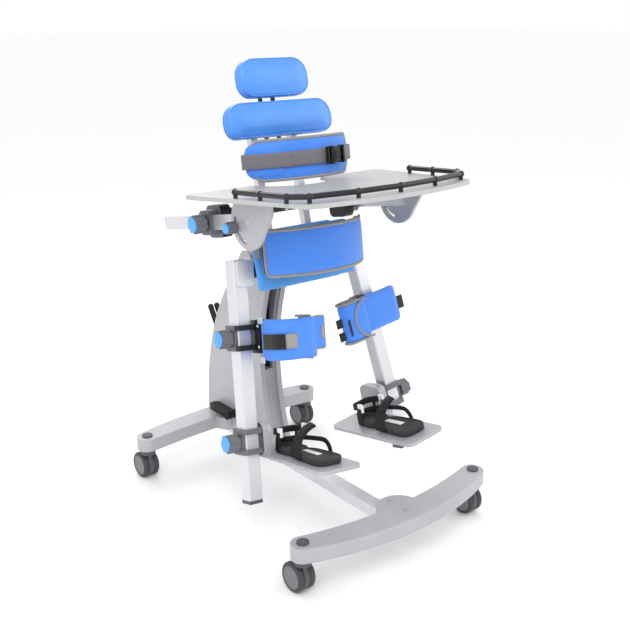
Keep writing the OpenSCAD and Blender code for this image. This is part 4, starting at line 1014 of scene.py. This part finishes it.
def makeKneePad(side, word):
    size = kneePadSize
    name, body = "kneePad" + word, "knee_" + word.lower()
    path, across = wrapFrame(boxWrap() if side < 0 else openWrap())
    wall, tall, last = size["wall"] / 2, size["tall"] / 2, len(path) - 1
    outWay, upWay = legWay(side, 1, 0, 0), legWay(side, 0, 0, 1)
    edgeUps = (tall - size["bindingDrop"], size["bindingDrop"] - tall)
    edges, straps = [], []

    def spot(out, b, up):
        return onLeg(side, out, b, size["up"] + up)

    def at(i, radial, up):
        p = path[i] + across[i] * radial
        return spot(p.x, p.y, up)

    def wallLine(first, stop, radial, up):
        return [at(i, radial, up) for i in range(first, stop)]

    def ease(i, r):
        # 0 at the ends of the wall, 1 from a distance r on
        gone = (min(i, last - i) * size["step"] + size["tip"]) / r
        return math.sqrt(1 - max(0.0, 1 - gone) ** 2)

    def addEdge(line, r=size["bindingR"], closed=False):
        edges.append(tubePiece("edge", line, r, finish["bindingTape"], closed=closed,
                               sides=size["bindingSides"]))

    def addStrap(line, way, wide, thick, kind):
        straps.append(strapPiece("strap", line, way, wide, thick, finish[kind]))

    def trimBox():
        # lining edge on the far wall, hook strap with a pale pull end, a flap, and pale corner tabs
        trim = kneeBoxTrim
        for up in edgeUps:
            addEdge(wallLine(last - trim["edgeSteps"], last, trim["edgeIn"], up))
        for part, kind in (("hook", "hookTapeAndSlitShade"), ("pull", "tapeTab")):
            first, stop = trim[part + "Steps"]
            line = wallLine(first, stop + 1, wall + trim[part + "Lift"], trim["strapUp"])
            addStrap(line, upWay, trim[part + "Wide"], trim[part + "Thick"], kind)
        outline = roundOutline(*trim["flap"], trim["flapRadii"])
        leaf = boxPad(name + "Flap", spot, outline, trim["flapFront"], trim["flapRear"], trim["flapCrown"],
                      trim["flapEdge"], (), finish["bandCloth"])
        fit(leaf, body)
        addEdge([spot(x, trim["rimB"], h) for x, h in outline], closed=True)
        addStrap(straight(*[spot(*p) for p in trim["tab"]], 4), outWay, trim["tabWide"], trim["tabThick"],
                 "tapeTab")
        for up in (trim["cornerUp"], -trim["cornerUp"]):
            straps.append(beveledBlock("corner", lambda x, b, h: spot(x, b, up + h), trim["cornerLow"],
                                       trim["cornerHigh"], finish["plainAlloy"], trim["cornerBevel"]))

    def trimOpen():
        # binding over the fold and round the flap, hook tabs at the ends, and a near-black strip in the slot
        # as painted shade
        trim = kneeOpenTrim
        for up in edgeUps:
            for radial in (trim["foldOut"], -trim["foldOut"]):
                addEdge(wallLine(last - trim["foldSteps"], last - trim["foldShort"], radial, up))
        front = size["foldB"] - size["foldR"] - wall - trim["frontLift"]
        arch = arcPoints(trim["archX"], 0, trim["archR"], 90, 270, 24)
        addEdge([spot(x, front, up) for x, up in arch], trim["archBinding"])
        ends = [spot(x, size["wingB"], trim["tongueUp"]) for x in trim["tongue"]]
        addStrap(straight(*ends, 6), upWay, trim["tongueWide"], trim["tongueThick"], "hookTapeAndSlitShade")
        for up in trim["hookUps"]:
            ends = [spot(x, size["foldB"], up) for x in trim["hook"]]
            addStrap(straight(*ends, 5), upWay, trim["hookWide"], trim["hookThick"], "hookTapeAndSlitShade")
        # painted shade: a near-black strip laid in the slot
        ends = [spot(trim["slotX"], front + trim["slotIn"], up) for up in trim["slotUps"]]
        addStrap(straight(*ends, 6), outWay, trim["slotWide"], trim["slotThick"], "hookTapeAndSlitShade")

    rings = []
    turns = [2 * math.pi * k / size["around"] for k in range(size["around"])]
    for i in range(last + 1):
        thick = (wall - size["slack"]) * ease(i, size["endRound"])
        high = tall - size["slack"] - size["endDrop"] * (1 - ease(i, size["endDrop"]))
        rings.append([at(i, thick * blunt(math.cos(a), size["wallBlunt"]),
                         high * blunt(math.sin(a), size["topBlunt"]))
                      for a in turns])
    pad = addPiece(name, *loft(rings, capped=True), finish["bandCloth"])
    puff(pad, size["voxel"])
    if side < 0:
        trimBox()
    else:
        trimOpen()
    binding = joinPieces(name + "Binding", edges)
    strap = joinPieces(name + "Strap", straps)
    fit(pad, body, "knee_pad_" + word.lower())
    fit(binding, body)
    fit(strap, body)


for side, word in bothSides:
    makeKneePad(side, word)
print("knee pads made")

# sandals on the footplates; both fasten on the same side
sandalSize = {"out": -0.106, "toeR": 0.0405, "heelR": 0.031, "toeB": -0.185, "heelB": -0.038,
              "toeBluntX": 0.5, "toeBluntB": 0.7, "waist": 0.0105, "waistShare": 0.60, "waistSpread": 0.10,
              "outlineStep": 0.005, "wall": 0.0028, "strapStep": 0.004, "nearest": 0.02}
# the sole's rings as (growth, height), up its side and over the rim to the foot bed
soleRings = ((-0.004, 0.0004), (0.0, 0.003), (-0.0008, 0.0075), (-0.0008, 0.0085), (0.0, 0.010),
             (0.0, 0.016), (-0.002, 0.018), (-0.0045, 0.018), (-0.006, 0.015), (-0.014, 0.0145))
# strap lines as (across from the middle, along, up), with the width at each end
sandalStraps = {
    "instep": ([(0.0400, -0.128, 0.006), (0.0390, -0.129, 0.034), (0.0300, -0.132, 0.058),
                (0.0120, -0.136, 0.076), (-0.0080, -0.140, 0.085)], "along", (0.040, 0.027)),
    "instepEnd": ([(0.0330, -0.132, 0.060), (0.0130, -0.136, 0.0795), (-0.0060, -0.140, 0.0885)], "along",
                  (0.026, 0.025)),
    "inner": ([(0.0, -0.0085, 0.026), (-0.0250, -0.020, 0.028), (-0.0325, -0.058, 0.035),
               (-0.0350, -0.105, 0.041), (-0.0370, -0.146, 0.043), (-0.0395, -0.162, 0.029),
               (-0.0402, -0.168, 0.010)], "upward", (0.012, 0.012)),
    "ankle": ([(0.0325, -0.052, 0.060), (0.0325, -0.030, 0.056), (0.0240, -0.013, 0.052),
               (0.0, -0.0075, 0.050), (-0.0240, -0.013, 0.052), (-0.0325, -0.035, 0.056),
               (-0.0325, -0.068, 0.062)], "upward", (0.017, 0.017)),
    "outerRiser": ([(0.0318, -0.040, 0.006), (0.0322, -0.042, 0.030), (0.0325, -0.046, 0.058)], "along",
                   (0.022, 0.016)),
    "innerRiser": ([(-0.0318, -0.030, 0.006), (-0.0324, -0.034, 0.052)], "along", (0.012, 0.010)),
}
sandalClips = [
    ((0.0290, -0.060, 0.055), (0.0375, -0.044, 0.068), 0.0022),    # outer buckle
    ((0.0300, -0.062, 0.044), (0.0365, -0.056, 0.056), 0.0014),
    ((-0.0370, -0.076, 0.060), (-0.0290, -0.058, 0.074), 0.0022),  # inner buckle with its two prongs
    ((-0.0360, -0.076, 0.043), (-0.0300, -0.071, 0.061), 0.0014),
    ((-0.0360, -0.063, 0.043), (-0.0300, -0.058, 0.061), 0.0014),
]
sandalPlate = {"x": -0.006, "first": -0.104, "last": -0.166, "up": 0.0152, "wide": 0.016, "thick": 0.0016}
heelCounter = {"r": 0.0297, "first": -20, "last": 200, "up": 0.021, "wide": 0.020, "thick": 0.003}


def sandalOutline(steps=28):
    s = sandalSize
    points = []
    for k in range(steps + 1):
        a = math.pi + math.pi * k / steps
        points.append((s["out"] + s["toeR"] * blunt(math.cos(a), s["toeBluntX"]),
                       s["toeB"] + s["toeR"] * blunt(math.sin(a), s["toeBluntB"])))
    points += arcPoints(s["out"], s["heelB"], s["heelR"], 0, 180, steps)
    waist = []
    for p in evenPath([(x, b, 0) for x, b in points], s["outlineStep"]):
        share = (p.y - s["toeB"]) / (s["heelB"] - s["toeB"])
        pinch = s["waist"] * math.exp(-((share - s["waistShare"]) / s["waistSpread"]) ** 2)
        waist.append((p.x - math.copysign(pinch, p.x - s["out"]), p.y))
    return waist


def smoothLine(points, steps=10):
    # smooth curve through a few points
    pts, made = [Vector(p) for p in points], []
    for k in range(len(pts) - 1):
        p0, p1, p2, p3 = (pts[max(0, min(len(pts) - 1, k + d))] for d in (-1, 0, 1, 2))
        for j in range(steps):
            u = j / steps
            bend = (2 * p0 - 5 * p1 + 4 * p2 - p3) * u ** 2 + (3 * p1 - p0 - 3 * p2 + p3) * u ** 3
            made.append(0.5 * (2 * p1 + (p2 - p0) * u + bend))
    return made + [pts[-1]]


def makeSandal(side, word):
    size = sandalSize
    name, mid = "sandal" + word, size["out"]
    midB = (size["toeB"] + size["heelB"]) / 2
    flat = sandalOutline()

    def at(x, b, up):
        return onSole(side, mid - side * x, b, solePlace["top"] + up)

    def ring(grow, up):
        made = []
        for x, b in flat:
            away = Vector((x - mid, b - midB, 0))
            away *= grow / max(size["nearest"], away.length)
            made.append(onSole(side, x + away.x, b + away.y, solePlace["top"] + up))
        return made

    origin = at(0, 0, 0)
    ways = {"across": at(1, 0, 0) - origin, "along": at(0, 1, 0) - origin, "upward": at(0, 0, 1) - origin}

    def strap(line, way, wide, thick):
        run = evenPath([at(*p) for p in line], size["strapStep"], closed=False)
        return strapPiece("strap", run, ways[way], wide, thick, finish["soleRubber"])

    parts = [addPiece("sole", *loft([ring(*step) for step in soleRings], capped=True), finish["footBed"])]
    for line, way, wide in sandalStraps.values():
        parts.append(strap(smoothLine(line), way, wide, size["wall"]))
    heel = arcPoints(0, size["heelB"], heelCounter["r"], heelCounter["first"], heelCounter["last"], 24)
    heelLine = [(x, b, heelCounter["up"]) for x, b in heel]
    parts.append(strap(heelLine, "upward", heelCounter["wide"], heelCounter["thick"]))
    sandal = joinPieces(name, parts)
    clips = blockSet(name + "Clips", at, sandalClips, finish["clipWhite"])
    ends = [at(sandalPlate["x"], sandalPlate[b], sandalPlate["up"]) for b in ("first", "last")]
    patch = strapPiece(name + "Patch", straight(*ends, 6), ways["across"], sandalPlate["wide"],
                       sandalPlate["thick"], finish["clipWhite"])
    fit(sandal, "foot_plate_" + word.lower(), "sandal_" + word.lower())
    for piece in (clips, patch):
        fit(piece, "foot_plate_" + word.lower())


for side, word in bothSides:
    makeSandal(side, word)
print("sandals made")

# blue covers over the knob ends
capSize = {"bigR": 0.0195, "bigFace": 0.039, "smallR": 0.0123, "smallFace": 0.031, "skirt": 0.0029,
           "dome": 0.0020, "rise": 0.0004, "shares": (0.0, 0.3, 0.6, 0.8, 0.92), "legSeat": 0.0293,
           "kneeUp": -0.104, "footUp": -0.365, "armSeat": 0.242, "armB": 0.187, "traySeat": 0.2423,
           "traySlotR": 0.05, "trayTurn": -12}


def makeCap(name, place, axis, r, body):
    profile = [(r * s, capSize["rise"] + capSize["dome"] * (1 - s ** 4)) for s in capSize["shares"]]
    profile += [(r, 0.0), (r, -capSize["skirt"]), (0.0, -capSize["skirt"])]
    fit(addPiece(name, *lathe(profile, place, axis), finish["blueCap"]), body)


for side, word in bothSides:
    legOut = capSize["legSeat"] + capSize["bigFace"]
    armX, trayX = capSize["armSeat"] + capSize["bigFace"], capSize["traySeat"] + capSize["smallFace"]
    trayY, trayZ = arcPoints(0, 0, capSize["traySlotR"], capSize["trayTurn"], capSize["trayTurn"], 1)[0]
    straightOut, legAway = (side, 0, 0), legWay(side, 1, 0, 0)
    for knob, place, axis, r in (
            ("arm", onArm(side * armX, capSize["armB"], 0), straightOut, "bigR"),
            ("tray", onArm(side * trayX, trayY, trayZ), straightOut, "smallR"),
            ("knee", onLeg(side, legOut, 0, capSize["kneeUp"]), legAway, "bigR"),
            ("foot", onLeg(side, legOut, 0, capSize["footUp"]), legAway, "bigR")):
        makeCap(knob + "KnobCap" + word, place, axis, capSize[r], knob + "_knob_" + word.lower())

# stops and rail screws under the tray board; the profiles are (radius, distance below the board)
trayUnder = {"face": 0.0514, "stopX": 0.224, "stopY": 0.069, "glideX": 0.217, "glideY": -0.172,
             "segments": 32, "screwR": 0.0045, "screwH": 0.0022, "screwSink": 0.0008, "frontY": -0.264,
             "rail": ((0.276, -0.010), (0.2705, -0.099), (0.265, -0.1883), (0.2343, -0.2291),
                      (0.117, -0.2550)),
             "stop": [(0.0, 0.0), (0.0135, 0.0), (0.0140, 0.0008), (0.0140, 0.0022), (0.0130, 0.0030),
                      (0.0042, 0.0032), (0.0042, 0.0060), (0.0080, 0.0064), (0.0086, 0.0074),
                      (0.0086, 0.0125), (0.0076, 0.0142), (0.0, 0.0148)],
             "glide": [(0.0, 0.0), (0.0120, 0.0), (0.0122, 0.0010), (0.0122, 0.0050), (0.0105, 0.0072),
                       (0.0, 0.0080)]}


def makeTrayFixings():
    size = trayUnder
    down = onTray(0, 0, -1) - onTray(0, 0, 0)
    screwFace = size["face"] - size["screwSink"]
    turned = []
    spots = [(onTray(0, size["frontY"], screwFace), down)]
    for side, word in bothSides:
        for part, kind in (("stop", "clampGrey"), ("glide", "plainAlloy")):
            place = onTray(side * size[part + "X"], size[part + "Y"], size["face"])
            turned.append(addPiece(part, *lathe(size[part], place, down, size["segments"]), finish[kind]))
        spots += [(onTray(side * x, y, screwFace), down) for x, y in size["rail"]]
    fit(joinPieces("trayStops", turned), "tray")
    screws = screwPiece("railScrews", spots, size["screwR"], size["screwH"], finish["screwSteel"])
    fit(screws, "tray")


makeTrayFixings()

# rims in the castor wheels, and screws in the knee plates
castorPlace = {"x": 0.290, "y": 0.366, "trail": 0.016, "wheelR": 0.0375, "face": 0.0243, "segments": 48,
               "rim": [(0.0, -0.0009), (0.006, -0.0009), (0.0075, -0.0014), (0.0235, -0.0018),
                       (0.0255, -0.0004), (0.0285, -0.0004), (0.0290, -0.0022), (0.0, -0.0022)]}
for fy, end in ((-1, "Front"), (1, "Rear")):
    for sx, word in bothSides:
        rims = []
        for face in (-1, 1):
            hub = (sx * castorPlace["x"] + face * castorPlace["face"],
                   fy * castorPlace["y"] + castorPlace["trail"], castorPlace["wheelR"])
            disc = lathe(castorPlace["rim"], hub, (face, 0, 0), castorPlace["segments"])
            rims.append(addPiece("rim", *disc, finish["rimGrey"]))
        rim = joinPieces("wheelRims" + end + word, rims)
        fit(rim, "wheels_" + end.lower() + "_" + word.lower())

kneeScrews = {"out": -0.0290, "b": -0.0350, "ups": (-0.130, -0.078), "radius": 0.0042, "height": 0.002}
for side, word in bothSides:
    facing = legWay(side, 1, 0, 0)
    spots = [(onLeg(side, kneeScrews["out"], kneeScrews["b"], up), facing) for up in kneeScrews["ups"]]
    screws = screwPiece("kneePlateScrews" + word, spots, kneeScrews["radius"], kneeScrews["height"],
                        finish["screwSteel"])
    fit(screws, "knee_" + word.lower())
print("caps, rims and screws made")

# floor, light and camera
floorSet = {"reach": 60, "color": (0.97, 0.97, 0.97, 1), "rough": 0.7}
floorMat = bpy.data.materials.new("paleFloor")
floorMat.use_nodes = True
floorShader = floorMat.node_tree.nodes["Principled BSDF"]
floorShader.inputs["Base Color"].default_value = floorSet["color"]
floorShader.inputs["Roughness"].default_value = floorSet["rough"]
floorCorners = [(x * floorSet["reach"], y * floorSet["reach"], 0)
                for x, y in ((-1, -1), (1, -1), (1, 1), (-1, 1))]
floor = addPiece("floor", floorCorners, [(0, 1, 2, 3)], floorMat, smooth=False)

world = bpy.data.worlds.new("studio")
scene.world = world
world.use_nodes = True
world.node_tree.nodes["Background"].inputs["Color"].default_value = (1, 1, 1, 1)
world.node_tree.nodes["Background"].inputs["Strength"].default_value = 1.0

lamps = {
    "keyLight": dict(place=(-2.2, -2.0, 3.2), aim=(0, 0, 0.6), size=2.2, power=52),
    "fillLight": dict(place=(2.6, -1.8, 2.0), aim=(0, 0, 0.6), size=2.5, power=20),
    "backLight": dict(place=(0.6, 2.8, 2.6), aim=(0, 0, 0.8), size=2.0, power=30),
}
for name, lamp in lamps.items():
    data = bpy.data.lights.new(name, "AREA")
    data.size = lamp["size"]
    data.energy = lamp["power"]
    obj = linkPiece(name, data)
    obj.location = lamp["place"]
    obj.rotation_euler = (Vector(lamp["aim"]) - Vector(lamp["place"])).to_track_quat("-Z", "Y").to_euler()

cameraSet = {"azimuth": -38.78, "elevation": 18.07, "distance": 2.40768,
             "target": (-0.00742, -0.0596, 0.550), "lens": 52.841, "sensor": 36.0}
camData = bpy.data.cameras.new("camera")
camData.sensor_width = cameraSet["sensor"]
camData.lens = cameraSet["lens"]
camera = linkPiece("camera", camData)
a, e = math.radians(cameraSet["azimuth"]), math.radians(cameraSet["elevation"])
back = Vector((math.sin(a) * math.cos(e), -math.cos(a) * math.cos(e), math.sin(e)))
camera.location = Vector(cameraSet["target"]) + back * cameraSet["distance"]
camera.rotation_euler = (-back).to_track_quat("-Z", "Y").to_euler()
scene.camera = camera
print("floor, light and camera set")
